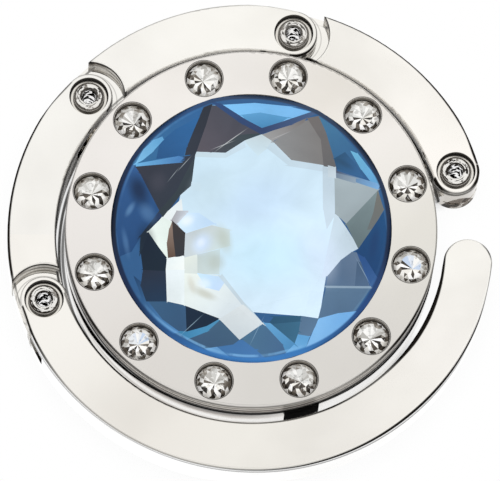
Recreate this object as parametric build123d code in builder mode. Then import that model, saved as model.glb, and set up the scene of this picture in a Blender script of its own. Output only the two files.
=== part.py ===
from build123d import *
import math
import os

# Folding purse hook: a round crystal-set disc with a jointed arm that closes round it as a ring.
# All sizes are in millimetres. Z is up, and the origin is the middle of the pad's underside.

# Overall driving dimensions
ring_outer_radius = 22.5
ring_width = 4.5
link_height = 5.0
ring_clearance = 0.8
plate_thickness = 2.15
running_gap = 0.05
glue_gap = 0.02
cut_overrun = 0.5

ring_inner_radius = ring_outer_radius - ring_width
ring_half_width = ring_width / 2
ring_middle_radius = ring_outer_radius - ring_half_width
disc_radius = ring_inner_radius - ring_clearance

# Heights of the layers, counted from the pad's underside
pad_stand = 0.5
ring_floor = 0.8
ring_top = ring_floor + link_height
hinge_height = ring_floor + link_height / 2
face_height = ring_top + plate_thickness

# Hinge circle: four hinges, a sixth of a turn apart
hinge_inset = 0.15
first_hinge_angle = 18.0
hinge_pitch = 60.0
hinge_count = 4
hinge_radius = ring_middle_radius - hinge_inset

# Forked and tongued ends of the links
ear_inset = 0.05
ear_thickness = 1.5
ear_blend_length = 4.2
slot_reach = 3.1
hollow_gap = 1.15
eye_inset = 0.05
heel_length = 2.75
heel_width = 1.5
edge_round = 0.22
hook_tip_angle = 352.5
ear_radius = ring_half_width - ear_inset
ear_blend_angle = math.degrees(ear_blend_length / hinge_radius)
slot_radius = ear_radius + slot_reach
hollow_radius = ear_radius + hollow_gap
eye_radius = ear_radius - eye_inset
heel_angle = math.degrees(heel_length / ring_outer_radius)
slot_height = link_height - 2 * ear_thickness
slot_floor = hinge_height - slot_height / 2
tongue_thickness = slot_height - 2 * running_gap
tongue_floor = hinge_height - tongue_thickness / 2

# Hollow rivets
rivet_pocket_rim = 0.375
rivet_pocket_depth = 0.7
rivet_head_gap = 0.36
rivet_head_overhang = 0.465
rivet_head_thickness = 0.55
rivet_head_round = 0.25
rivet_mouth_round = 0.2
rivet_wall = 0.35
rivet_pocket_radius = ear_radius - rivet_pocket_rim
rivet_head_radius = rivet_pocket_radius - rivet_head_gap
rivet_radius = rivet_head_radius - rivet_head_overhang
rivet_bore_radius = rivet_radius - rivet_wall
rivet_hole_radius = rivet_radius + running_gap

# Rubber pad under the base
pad_inset = 2.7
pad_thickness = 1.0
pad_edge_bevel = 0.25
pad_radius = disc_radius - pad_inset

# Base casting
base_wall = 1.75
base_floor_thickness = 0.6
base_edge_round = 0.5
groove_height = 0.3
groove_depth = 0.25
cavity_radius = disc_radius - base_wall
cavity_floor = pad_thickness + base_floor_thickness

# Face plate
spigot_depth = 0.45
spigot_wall = 0.6
face_edge_round = 0.3
spigot_radius = cavity_radius - running_gap

# Clear stones set round the face
stone_count = 12
first_stone_angle = 16.4
stone_edge_margin = 0.38
stone_socket_gap = 0.12
stone_floor_thickness = 0.3
stone_radius = 1.6
stone_crown_height = 0.55
stone_girdle_height = 0.2
stone_culet_radius = 0.3
stone_table_share = 0.55
stone_facets = 8
stone_sink = 0.1
socket_radius = stone_radius + stone_socket_gap
stone_circle_radius = disc_radius - stone_edge_margin - socket_radius
stone_girdle_top = face_height - stone_sink - stone_crown_height
stone_girdle_bottom = stone_girdle_top - stone_girdle_height
stone_pavilion_depth = stone_girdle_bottom - ring_top - stone_floor_thickness

# Centre crystal
crystal_margin = 0.41
crystal_crown_height = 1.7
crystal_girdle_height = 0.95
crystal_rise = 0.2
crystal_pavilion_depth = 3.1
crystal_culet_radius = 1.2
crystal_table_share = 0.66
crystal_ledge = 0.7
crystal_facets = 8
crystal_facet_angle = 16.0
crystal_radius = stone_circle_radius - socket_radius - crystal_margin - glue_gap
crystal_girdle_top = face_height + crystal_rise
crystal_seat_height = crystal_girdle_top - crystal_girdle_height
crystal_opening_radius = crystal_radius - crystal_ledge

# Swivel lug that joins the arm to the disc, and the washer inside the base
washer_clearance = 0.1
washer_thickness = 0.5
washer_overhang = 0.2
shank_head_overhang = 0.3
shank_head_thickness = 0.7
lug_neck_width = 3.0
ear_neck_gap = 0.1
washer_radius = hinge_height - cavity_floor - washer_clearance
shank_head_radius = washer_radius - washer_overhang
shank_radius = shank_head_radius - shank_head_overhang
shank_bore_radius = shank_radius + running_gap
neck_start = hinge_radius - ear_radius - ear_neck_gap
washer_face = math.sqrt(cavity_radius**2 - washer_radius**2) - running_gap
washer_back = washer_face - washer_thickness

# Magnets that hold the hook shut
magnet_angle = 285.5
magnet_width = 3.3
magnet_height = 3.0
magnet_depth = 1.3
magnet_top = ring_top - groove_height - running_gap
magnet_floor = magnet_top - magnet_height


# A point on a circle round the disc's axis
def polar(radius, angle):
    turn = math.radians(angle)
    return (radius * math.cos(turn), radius * math.sin(turn))


# A level plane whose local X axis points outward at the given angle
def level_plane(angle, height):
    turn = math.radians(angle)
    return Plane(origin=(0, 0, height), x_dir=(math.cos(turn), math.sin(turn), 0), z_dir=(0, 0, 1))


# A plane that stands on a spoke and looks outward along it
def spoke_plane(angle, radius, height):
    turn = math.radians(angle)
    outward = (math.cos(turn), math.sin(turn), 0)
    x, y = polar(radius, angle)
    return Plane(origin=(x, y, height), x_dir=(0, 0, 1), z_dir=outward)


# Every finished piece is labelled and written under its own name
def save(piece, name):
    piece.label = name
    export_step(piece, f"parts/{name}.step")


# Base casting: a shallow cup with a rubber pad below and the swivel's bore in its wall
def make_base():
    with BuildPart() as base:
        with BuildSketch(Plane.XY.offset(pad_stand)):
            Circle(disc_radius)
        extrude(amount=ring_top - pad_stand)
        fillet(base.edges().filter_by(GeomType.CIRCLE).sort_by(Axis.Z)[0], base_edge_round)
        with BuildSketch(Plane.XY.offset(ring_top - groove_height)):
            Circle(disc_radius + cut_overrun)
            Circle(disc_radius - groove_depth, mode=Mode.SUBTRACT)
        extrude(amount=groove_height, mode=Mode.SUBTRACT)
        with BuildSketch(Plane.XY.offset(cavity_floor)):
            Circle(cavity_radius)
        extrude(amount=ring_top - cavity_floor, mode=Mode.SUBTRACT)
        with BuildSketch(Plane.XY.offset(pad_stand)):
            Circle(pad_radius + running_gap)
        extrude(amount=pad_thickness - pad_stand, mode=Mode.SUBTRACT)
        with BuildSketch(spoke_plane(first_hinge_angle, cavity_radius - cut_overrun, hinge_height)):
            Circle(shank_bore_radius)
        extrude(amount=base_wall + 2 * cut_overrun, mode=Mode.SUBTRACT)
        with BuildSketch(level_plane(magnet_angle, magnet_floor - glue_gap)):
            with Locations((disc_radius, 0)):
                Rectangle(2 * (magnet_depth + glue_gap), magnet_width + 2 * glue_gap)
        extrude(amount=magnet_height + 2 * glue_gap, mode=Mode.SUBTRACT)
    save(base.part, "base_casting")


# Rubber pad: it stands proud of the base so that the metal never touches the table
def make_pad():
    with BuildPart() as pad:
        with BuildSketch():
            Circle(pad_radius)
        extrude(amount=pad_thickness)
        chamfer(pad.edges().filter_by(GeomType.CIRCLE).sort_by(Axis.Z)[0], pad_edge_bevel)
    save(pad.part, "anti_slip_pad")


# Face plate: it carries the crystal in a stepped opening and the clear stones in conical sockets
def make_face_plate():
    with BuildPart() as plate:
        with BuildSketch(Plane.XY.offset(ring_top)):
            Circle(disc_radius)
        extrude(amount=plate_thickness)
        fillet(plate.edges().filter_by(GeomType.CIRCLE).sort_by(Axis.Z)[-1], face_edge_round)
        with BuildSketch(Plane.XY.offset(ring_top - spigot_depth)):
            Circle(spigot_radius)
        extrude(amount=spigot_depth)
        with BuildSketch(Plane.XY.offset(ring_top - spigot_depth)):
            Circle(spigot_radius - spigot_wall)
        extrude(amount=spigot_depth, mode=Mode.SUBTRACT)
        with BuildSketch(Plane.XY.offset(ring_top)):
            Circle(crystal_opening_radius)
        extrude(amount=plate_thickness, mode=Mode.SUBTRACT)
        with BuildSketch(Plane.XY.offset(crystal_seat_height)):
            Circle(crystal_radius + glue_gap)
        extrude(amount=plate_thickness, mode=Mode.SUBTRACT)
        with BuildSketch(Plane.XY.offset(stone_girdle_bottom)):
            with PolarLocations(stone_circle_radius, stone_count, start_angle=first_stone_angle):
                Circle(socket_radius)
        extrude(amount=plate_thickness, mode=Mode.SUBTRACT)
        with Locations((0, 0, stone_girdle_bottom - stone_pavilion_depth - glue_gap)):
            with PolarLocations(stone_circle_radius, stone_count, start_angle=first_stone_angle):
                Cone(
                    stone_culet_radius + glue_gap,
                    stone_radius + glue_gap,
                    stone_pavilion_depth + glue_gap,
                    align=(Align.CENTER, Align.CENTER, Align.MIN),
                    mode=Mode.SUBTRACT,
                )
    save(plate.part, "face_plate")


# The planes that cut a brilliant's crown: one slope meets the table's sides, one its corners
def crown_planes(centre, radius, table_share, girdle_top, crown_height, facets, first_angle):
    half_step = 180 / facets
    table_corner = radius * table_share
    table_side = table_corner * math.cos(math.radians(half_step))
    girdle_side = radius * math.cos(math.radians(half_step))
    planes = []
    for facet in range(facets):
        side_angle = first_angle + 2 * half_step * facet
        slopes = ((side_angle, table_side, radius), (side_angle + half_step, table_corner, girdle_side))
        for angle, top_reach, low_reach in slopes:
            turn = math.radians(angle)
            tilt = math.atan2(low_reach - top_reach, crown_height)
            outward = Vector(math.cos(turn), math.sin(turn), 0) * math.cos(tilt)
            normal = outward + Vector(0, 0, math.sin(tilt))
            origin = Vector(*centre, girdle_top) + Vector(math.cos(turn), math.sin(turn), 0) * low_reach
            planes.append(Plane(origin=origin, z_dir=normal))
    return planes


# Centre crystal: a round glass stone with a star-cut crown and a foiled cone behind
def make_crystal():
    planes = crown_planes(
        (0, 0),
        crystal_radius,
        crystal_table_share,
        crystal_girdle_top,
        crystal_crown_height,
        crystal_facets,
        crystal_facet_angle,
    )
    with BuildPart() as crystal:
        with BuildSketch(Plane.XY.offset(crystal_seat_height)):
            Circle(crystal_radius)
        extrude(amount=crystal_girdle_height + crystal_crown_height)
        for plane in planes:
            split(bisect_by=plane, keep=Keep.BOTTOM)
        with Locations((0, 0, crystal_seat_height - crystal_pavilion_depth)):
            Cone(
                crystal_culet_radius,
                crystal_opening_radius - glue_gap,
                crystal_pavilion_depth,
                align=(Align.CENTER, Align.CENTER, Align.MIN),
            )
    save(crystal.part, "centre_crystal")


# Clear stones: small brilliants, each glued in its own socket
def make_stones():
    for index in range(stone_count):
        angle = first_stone_angle + index * 360 / stone_count
        centre = polar(stone_circle_radius, angle)
        planes = crown_planes(
            centre,
            stone_radius,
            stone_table_share,
            stone_girdle_top,
            stone_crown_height,
            stone_facets,
            angle,
        )
        with BuildPart() as stone:
            with BuildSketch(Plane.XY.offset(stone_girdle_bottom)):
                with Locations(centre):
                    Circle(stone_radius)
            extrude(amount=stone_girdle_height + stone_crown_height)
            for plane in planes:
                split(bisect_by=plane, keep=Keep.BOTTOM)
            with Locations((*centre, stone_girdle_bottom - stone_pavilion_depth)):
                Cone(
                    stone_culet_radius,
                    stone_radius,
                    stone_pavilion_depth,
                    align=(Align.CENTER, Align.CENTER, Align.MIN),
                )
        save(stone.part, f"stone_{index + 1:02d}")


# Magnet block in the base's rim: its outer face follows the rim
def make_disc_magnet():
    with BuildPart() as magnet:
        with BuildSketch(level_plane(magnet_angle, magnet_floor)):
            with Locations((disc_radius, 0)):
                Rectangle(2 * magnet_depth, magnet_width)
            Circle(disc_radius, mode=Mode.INTERSECT)
        extrude(amount=magnet_height)
    save(magnet.part, "disc_magnet")


# Magnet block in the hook's inner wall, facing the one in the base
def make_hook_magnet():
    with BuildPart() as magnet:
        with BuildSketch(level_plane(magnet_angle, magnet_floor)):
            with Locations((ring_inner_radius, 0)):
                Rectangle(2 * magnet_depth, magnet_width)
            Circle(ring_inner_radius, mode=Mode.SUBTRACT)
        extrude(amount=magnet_height)
    save(magnet.part, "hook_magnet")


# Swivel lug: a flat eye for the first link, and a round shank headed over a washer inside the base
def make_lug():
    with BuildPart() as lug:
        with BuildSketch(level_plane(first_hinge_angle, tongue_floor)):
            with Locations((hinge_radius, 0)):
                Circle(eye_radius)
            with Locations(((neck_start + hinge_radius) / 2, 0)):
                Rectangle(hinge_radius - neck_start, lug_neck_width)
            with Locations((hinge_radius, 0)):
                Circle(rivet_hole_radius, mode=Mode.SUBTRACT)
        extrude(amount=tongue_thickness)
        with BuildSketch(spoke_plane(first_hinge_angle, washer_back, hinge_height)):
            Circle(shank_radius)
        extrude(amount=neck_start - washer_back)
        with BuildSketch(spoke_plane(first_hinge_angle, washer_back, hinge_height)):
            Circle(shank_head_radius)
        extrude(amount=-shank_head_thickness)
    save(lug.part, "swivel_lug")


# Washer between the shank's head and the inside of the base's wall
def make_washer():
    with BuildPart() as washer:
        with BuildSketch(spoke_plane(first_hinge_angle, washer_back, hinge_height)):
            Circle(washer_radius)
            Circle(shank_bore_radius, mode=Mode.SUBTRACT)
        extrude(amount=washer_thickness)
    save(washer.part, "swivel_washer")


# Outline of a link: a rounded fork end at its own hinge, then a stretch of the ring
def link_outline(hinge_angle, end_angle, rounded_end):
    blend_angle = hinge_angle + ear_blend_angle
    half_blend = hinge_angle + ear_blend_angle / 2
    ear_outer = hinge_radius + ear_radius
    ear_inner = hinge_radius - ear_radius
    with BuildSketch(Plane.XY, mode=Mode.PRIVATE) as outline:
        with BuildLine():
            outer = CenterArc((0, 0), ring_outer_radius, blend_angle, end_angle - blend_angle)
            inner = CenterArc((0, 0), ring_inner_radius, blend_angle, end_angle - blend_angle)
            CenterArc(polar(hinge_radius, hinge_angle), ear_radius, hinge_angle, -180)
            ThreePointArc(
                polar(ear_outer, hinge_angle),
                polar((ear_outer + ring_outer_radius) / 2, half_blend),
                outer @ 0,
            )
            ThreePointArc(
                polar(ear_inner, hinge_angle),
                polar((ear_inner + ring_inner_radius) / 2, half_blend),
                inner @ 0,
            )
            if rounded_end:
                CenterArc(polar(ring_middle_radius, end_angle), ring_half_width, end_angle, 180)
            else:
                Line(outer @ 1, inner @ 1)
        make_face()
        if not rounded_end:
            with Locations(polar(hinge_radius, end_angle)):
                Circle(hollow_radius, mode=Mode.SUBTRACT)
    return outline.sketch


# Outline of a link's tongue: it runs from the link's body to the eye, with a heel along the outer side
def tongue_outline(hinge_angle):
    root_angle = hinge_angle - math.degrees(2 * hollow_radius / ring_inner_radius)
    with BuildSketch(Plane.XY.offset(tongue_floor), mode=Mode.PRIVATE) as outline:
        with BuildLine():
            outer = CenterArc((0, 0), ring_outer_radius, root_angle, hinge_angle - root_angle)
            inner = CenterArc((0, 0), ring_inner_radius, root_angle, hinge_angle - root_angle)
            Line(outer @ 0, inner @ 0)
            Line(outer @ 1, inner @ 1)
        make_face()
        with BuildLine():
            heel_outer = CenterArc((0, 0), ring_outer_radius, hinge_angle, heel_angle)
            heel_inner = CenterArc((0, 0), ring_outer_radius - heel_width, hinge_angle, heel_angle)
            Line(heel_outer @ 0, heel_inner @ 0)
            Line(heel_outer @ 1, heel_inner @ 1)
        make_face()
        with Locations(polar(hinge_radius, hinge_angle)):
            Circle(eye_radius)
            Circle(rivet_hole_radius, mode=Mode.SUBTRACT)
    return outline.sketch


# A link: a forked end with its rivet's hole and pockets, and at the far end a tongue or the hook's tip
def make_link(name, hinge_angle, end_angle, is_hook):
    hinge = polar(hinge_radius, hinge_angle)
    with BuildPart() as link:
        with BuildSketch(Plane.XY.offset(ring_floor)):
            add(link_outline(hinge_angle, end_angle, rounded_end=is_hook))
        extrude(amount=link_height)
        fillet(link.faces().filter_by(Axis.Z).edges(), edge_round)
        with BuildSketch(Plane.XY.offset(slot_floor)):
            with Locations(hinge):
                Circle(slot_radius)
        extrude(amount=slot_height, mode=Mode.SUBTRACT)
        with BuildSketch(Plane.XY.offset(ring_floor)):
            with Locations(hinge):
                Circle(rivet_hole_radius)
        extrude(amount=link_height, mode=Mode.SUBTRACT)
        for pocket_floor in (ring_floor, ring_top - rivet_pocket_depth):
            with BuildSketch(Plane.XY.offset(pocket_floor)):
                with Locations(hinge):
                    Circle(rivet_pocket_radius)
            extrude(amount=rivet_pocket_depth, mode=Mode.SUBTRACT)
        if is_hook:
            with BuildSketch(level_plane(magnet_angle, magnet_floor - glue_gap)):
                with Locations((ring_inner_radius, 0)):
                    Rectangle(2 * (magnet_depth + glue_gap), magnet_width + 2 * glue_gap)
            extrude(amount=magnet_height + 2 * glue_gap, mode=Mode.SUBTRACT)
        else:
            extrude(tongue_outline(end_angle), amount=tongue_thickness)
    save(link.part, name)


# The three plain links, and the long last one, which is the hook itself
def make_arm():
    hinge_angles = [first_hinge_angle + hinge_pitch * index for index in range(hinge_count)]
    for index, name in enumerate(("first_link", "second_link", "third_link")):
        make_link(name, hinge_angles[index], hinge_angles[index + 1], is_hook=False)
    make_link("hook_link", hinge_angles[-1], hook_tip_angle, is_hook=True)


# Hollow rivets with rolled heads, one through each hinge
def make_rivets():
    head_floor = ring_floor + rivet_pocket_depth - rivet_head_thickness
    rivet_length = link_height - 2 * (rivet_pocket_depth - rivet_head_thickness)
    for index in range(hinge_count):
        angle = first_hinge_angle + hinge_pitch * index
        x, y = polar(hinge_radius, angle)
        turn = math.radians(angle)
        outward = (math.cos(turn), math.sin(turn), 0)
        sideways = (math.sin(turn), -math.cos(turn), 0)
        with BuildPart() as rivet:
            with BuildSketch(Plane(origin=(x, y, head_floor), x_dir=outward, z_dir=sideways)) as profile:
                with Locations((rivet_bore_radius, 0)):
                    Rectangle(rivet_radius - rivet_bore_radius, rivet_length, align=Align.MIN)
                head_places = ((rivet_bore_radius, 0), (rivet_bore_radius, rivet_length - rivet_head_thickness))
                with Locations(*head_places):
                    Rectangle(rivet_head_radius - rivet_bore_radius, rivet_head_thickness, align=Align.MIN)
                rim_corners = profile.vertices().group_by(Axis.X)[-1].sort_by(Axis.Y)
                fillet([rim_corners[0], rim_corners[-1]], rivet_head_round)
                fillet(profile.vertices().group_by(Axis.X)[0], rivet_mouth_round)
            revolve(axis=Axis((x, y, 0), (0, 0, 1)))
        save(rivet.part, f"hinge_rivet_{index + 1}")


os.makedirs("parts", exist_ok=True)
make_base()
make_pad()
make_face_plate()
make_crystal()
make_stones()
make_disc_magnet()
make_hook_magnet()
make_lug()
make_washer()
make_arm()
make_rivets()
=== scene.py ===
import math
import random

import bmesh
import bpy
from mathutils import Matrix, Vector, geometry


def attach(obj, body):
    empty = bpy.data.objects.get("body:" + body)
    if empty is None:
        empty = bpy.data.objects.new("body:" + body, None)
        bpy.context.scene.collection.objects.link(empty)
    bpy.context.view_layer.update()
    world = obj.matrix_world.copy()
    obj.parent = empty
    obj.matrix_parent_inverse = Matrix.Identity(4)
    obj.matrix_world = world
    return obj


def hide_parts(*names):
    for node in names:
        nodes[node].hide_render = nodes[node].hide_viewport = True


# Folding purse hook, seen folded. Lengths in the dictionaries are millimetres unless a note says otherwise,
# and colours are codes as designers write them, such as 7fc4f7.
millimetre = 0.001
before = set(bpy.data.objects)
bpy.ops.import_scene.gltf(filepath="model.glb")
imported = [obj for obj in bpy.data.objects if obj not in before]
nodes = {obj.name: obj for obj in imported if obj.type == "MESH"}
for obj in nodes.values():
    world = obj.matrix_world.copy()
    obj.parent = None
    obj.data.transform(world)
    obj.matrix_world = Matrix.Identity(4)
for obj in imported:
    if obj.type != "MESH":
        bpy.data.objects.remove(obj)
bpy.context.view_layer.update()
print("frame loaded:", len(nodes), "nodes")


class Wire:  # a socket with which sums are written as plain expressions
    def __init__(self, shader, socket):
        self.shader = shader
        self.socket = socket

    def join(self, operation, *others):
        return self.shader.node("ShaderNodeMath", {"operation": operation}, dict(enumerate((self, *others))))

    def flip(self, operation, other):
        return self.shader.node("ShaderNodeMath", {"operation": operation}, {0: other, 1: self})

    def most(self, other):
        return self.join("MAXIMUM", other)

    def fade(self, start, end):  # 0 at start and 1 at end, whichever is larger
        sockets = {"Value": self, "From Min": min(start, end), "From Max": max(start, end)}
        sockets |= {"To Min": float(start > end), "To Max": float(end > start)}
        return self.shader.node("ShaderNodeMapRange", {"interpolation_type": "SMOOTHSTEP"}, sockets)

    def __add__(self, other):
        return self.join("ADD", other)

    def __radd__(self, other):
        return self.flip("ADD", other)

    def __sub__(self, other):
        return self.join("SUBTRACT", other)

    def __rsub__(self, other):
        return self.flip("SUBTRACT", other)

    def __mul__(self, other):
        return self.join("MULTIPLY", other)

    def __rmul__(self, other):
        return self.flip("MULTIPLY", other)

    def __truediv__(self, other):
        return self.join("DIVIDE", other)

    def __pow__(self, other):
        return self.join("POWER", other)

    def __abs__(self):
        return self.join("ABSOLUTE")


class Shader:
    def __init__(self, tree):
        self.tree = tree
        self.tree.nodes.clear()

    def node(self, kind, settings=None, sockets=None, output=0):
        made = self.tree.nodes.new(kind)
        for name, value in (settings or {}).items():
            if name == "stops":
                self.setStops(made.color_ramp, value)
            else:
                setattr(made, name, value)
        for name, value in (sockets or {}).items():
            if isinstance(value, Wire):
                self.tree.links.new(value.socket, made.inputs[name])
            else:
                made.inputs[name].default_value = value
        return Wire(self, made.outputs[output]) if len(made.outputs) else made

    def setStops(self, ramp, stops):
        while len(ramp.elements) > 1:
            ramp.elements.remove(ramp.elements[-1])
        for index, (place, tone) in enumerate(stops):
            element = ramp.elements[0] if index == 0 else ramp.elements.new(place)
            element.position = place
            element.color = asColour(tone)

    def mix(self, factor, first, second):  # each of the two is a socket or a tone
        sockets = {0: factor, 6: asColour(first), 7: asColour(second)}
        return self.node("ShaderNodeMix", {"data_type": "RGBA"}, sockets, 2)

    def noise(self, place, scale, detail=3.0, distortion=0.0, roughness=0.5):
        sockets = {"Vector": place, "Scale": scale, "Detail": detail, "Distortion": distortion, "Roughness": roughness}
        return self.node("ShaderNodeTexNoise", None, sockets)

    def vector(self, x, y, z):
        return self.node("ShaderNodeCombineXYZ", None, {0: x, 1: y, 2: z})

    def split(self, vector):
        first = self.node("ShaderNodeSeparateXYZ", None, {0: vector})
        return [Wire(self, output) for output in first.socket.node.outputs]

    def place(self):
        return self.node("ShaderNodeTexCoord", None, None, 3)

    def lean(self):  # 1 on faces that look up, 0 on upright walls
        return self.split(self.node("ShaderNodeTexCoord", None, None, 1))[2]


def tint(code):  # a colour code in scene-linear light
    parts = [int(code[start : start + 2], 16) / 255 for start in (0, 2, 4)]
    return tuple(part / 12.92 if part <= 0.04045 else ((part + 0.055) / 1.055) ** 2.4 for part in parts)


def asColour(tone):  # a tone is a colour code, a grey level between 0 and 1, or a colour or socket as it is
    if isinstance(tone, str):
        return (*tint(tone), 1)
    return (tone, tone, tone, 1) if isinstance(tone, float) else tone


def rampOf(value, stops):  # stops are (place between 0 and 1, tone)
    return value.shader.node("ShaderNodeValToRGB", {"stops": stops}, {0: value})


def ringRamp(turn, stops):  # stops are (degrees, tone), for a whole turn that starts at -180
    return rampOf(turn, [((angle + 180) / 360, tone) for angle, tone in stops])


def turnOf(x, y):  # 0 at -180 degrees and 1 at 180
    return y.join("ARCTAN2", x) * (0.5 / math.pi) + 0.5


def lengthOf(x, y):
    return (x * x + y * y) ** 0.5


def polar(radius, angle, height=0.0):
    turn = math.radians(angle)
    return Vector((radius * math.cos(turn), radius * math.sin(turn), height))


class Spot:  # a point of the surface: place, distance from the disc's axis, turn about it, depth under a top
    def __init__(self, shader, top=0.0):
        self.x, self.y, self.z = [axis * (1 / millimetre) for axis in shader.split(shader.place())]
        self.reach = lengthOf(self.x, self.y)
        self.turn = turnOf(self.x, self.y)
        self.depth = top - self.z


def newMaterial(name):
    material = bpy.data.materials.new(name)
    material.use_nodes = True
    return material, Shader(material.node_tree)


def finishMaterial(shader, sockets):
    surface = shader.node("ShaderNodeBsdfPrincipled", None, sockets)
    shader.node("ShaderNodeOutputMaterial", None, {"Surface": surface})


def dress(nodeNames, material):
    for name in nodeNames:
        nodes[name].data.materials.clear()
        nodes[name].data.materials.append(material)


def addObject(name, bm, material):
    mesh = bpy.data.meshes.new(name)
    bm.to_mesh(mesh)
    bm.free()
    mesh.materials.append(material)
    piece = bpy.data.objects.new(name, mesh)
    bpy.context.scene.collection.objects.link(piece)
    return piece


def finishPiece(name, bm, material, body, slot, *replaced):  # the mesh comes in millimetres
    bmesh.ops.scale(bm, vec=(millimetre, millimetre, millimetre), verts=bm.verts)
    piece = addObject(name, bm, material)
    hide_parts(*replaced)
    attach(piece, body)


# Where the details lie, as in the solids
layout = {
    "hingeRadius": 20.1,
    "firstHinge": 18.0,  # degrees
    "hingePitch": 60.0,
    "ringTop": 5.8,
    "ringOutside": 22.5,
    "ringInside": 18.0,
    "linkEar": 1.5,  # how thick a fork's ear is
    "earInset": 0.2,  # how far a fork end stays inside the ring's outer edge
    "earRadius": 2.2,
    "pocketRadius": 1.825,
    "hollowRadius": 3.35,
    "hollowFloor": 2.5,
    "faceTop": 7.95,
    "discRadius": 17.2,
    "grooveLow": 5.5,
    "bandLow": 2.6,
    "stoneCircle": 15.1,
    "firstStone": 16.4,
    "stonePitch": 30.0,
    "edgeRound": 0.24,  # how far the rounding of an edge reaches down
}

# Polished silver plating, alike on all pieces
plating = {
    # painted dark reflections and shade along edges, rims and grooves
    "paintedLineDark": "1f1c19",
    "lineSoft": 0.045,  # over how much of its side a line fades
    "lineGain": 2.3,
    "viewTurn": -96.0,  # the side that the photo is taken from, in degrees
    "viewSlope": 0.305,  # how far a wall's foot shows beyond its top, for each millimetre of height, at the front
    "cloud": "cfcbc4",
    "cloudShare": 0.35,
    "polish": 0.045,  # roughness of the clean mirror
    "smear": 0.06,  # what handling marks add to it
    "cloudScale": 55.0,  # per metre
    "smearScale": 360.0,
    "scratchScale": 2600.0,
    "scratchDepth": 0.004,
    "scratchStrength": 0.06,
}


def roundPlace(spot, circle, first, pitch):  # about the nearest of evenly spaced centres: distance, direction, sideways
    start = (180 + first) / 360 - pitch / 720
    local = ((spot.turn - start).join("FLOORED_MODULO", pitch / 360) - pitch / 720) * (2 * math.pi)
    outward = spot.reach * local.join("COSINE") - circle
    sideways = spot.reach * local.join("SINE")
    direction = (sideways.join("ARCTAN2", outward) - local) * (0.5 / math.pi) + spot.turn
    return lengthOf(outward, sideways), direction.join("FLOORED_MODULO", 1.0), sideways


def findHinge(spot):  # the same about the hinges, and 1 where a hinge is
    around = roundPlace(spot, layout["hingeRadius"], layout["firstHinge"], layout["hingePitch"])
    spot.hinge, spot.direction, spot.sideways = around
    # the long hook has no hinge between its fork and its tip
    spot.hinged = 1 - spot.turn.fade(0.13, 0.134) * spot.turn.fade(0.468, 0.464)


def runningLine(rows, around, offset):  # rows: degrees, place, half width, strength; they change as the line runs
    low = math.floor(min(place for angle, place, halfWidth, strength in rows))
    gain = plating["lineGain"]
    stops = [(angle, (place - low, halfWidth * gain, strength, 1)) for angle, place, halfWidth, strength in rows]
    place, halfWidth, strength = around.shader.split(ringRamp(around, stops))
    inside = (halfWidth - abs(offset - place - low)) * (0.5 / plating["lineSoft"]) + 0.5
    return inside.most(0.0).join("MINIMUM", 1.0) * strength


def viewSlope(turn):
    angle = (turn - 0.5) * (2 * math.pi) - math.radians(plating["viewTurn"])
    return abs(angle.join("COSINE")) * plating["viewSlope"] + 0.02


def finishPlating(shader, colour, dull, roughness=0.0):  # dull is 1 where painted reflections and shade take the metal's shine
    place = shader.place()
    clouds = shader.noise(place, plating["cloudScale"], 4.0, 0.3)
    smears = shader.noise(place, plating["smearScale"], 5.0, 0.6)
    stretched = shader.node("ShaderNodeMapping", None, {"Vector": place, "Scale": (1.0, 0.08, 1.0)})
    scratches = shader.noise(stretched, plating["scratchScale"], 2.0)
    colour = shader.mix(clouds.fade(0.42, 0.72) * plating["cloudShare"] * (1 - dull), colour, plating["cloud"])
    rough = plating["polish"] + roughness + smears.fade(0.45, 0.8) * plating["smear"] + dull * 0.3
    distance = plating["scratchDepth"] * millimetre
    scratch = {"Strength": plating["scratchStrength"], "Distance": distance, "Height": scratches}
    sockets = {"Base Color": colour, "Metallic": 1 - dull, "Roughness": rough, "Specular IOR Level": 0.0}
    finishMaterial(shader, sockets | {"Normal": shader.node("ShaderNodeBump", None, scratch)})
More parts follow.
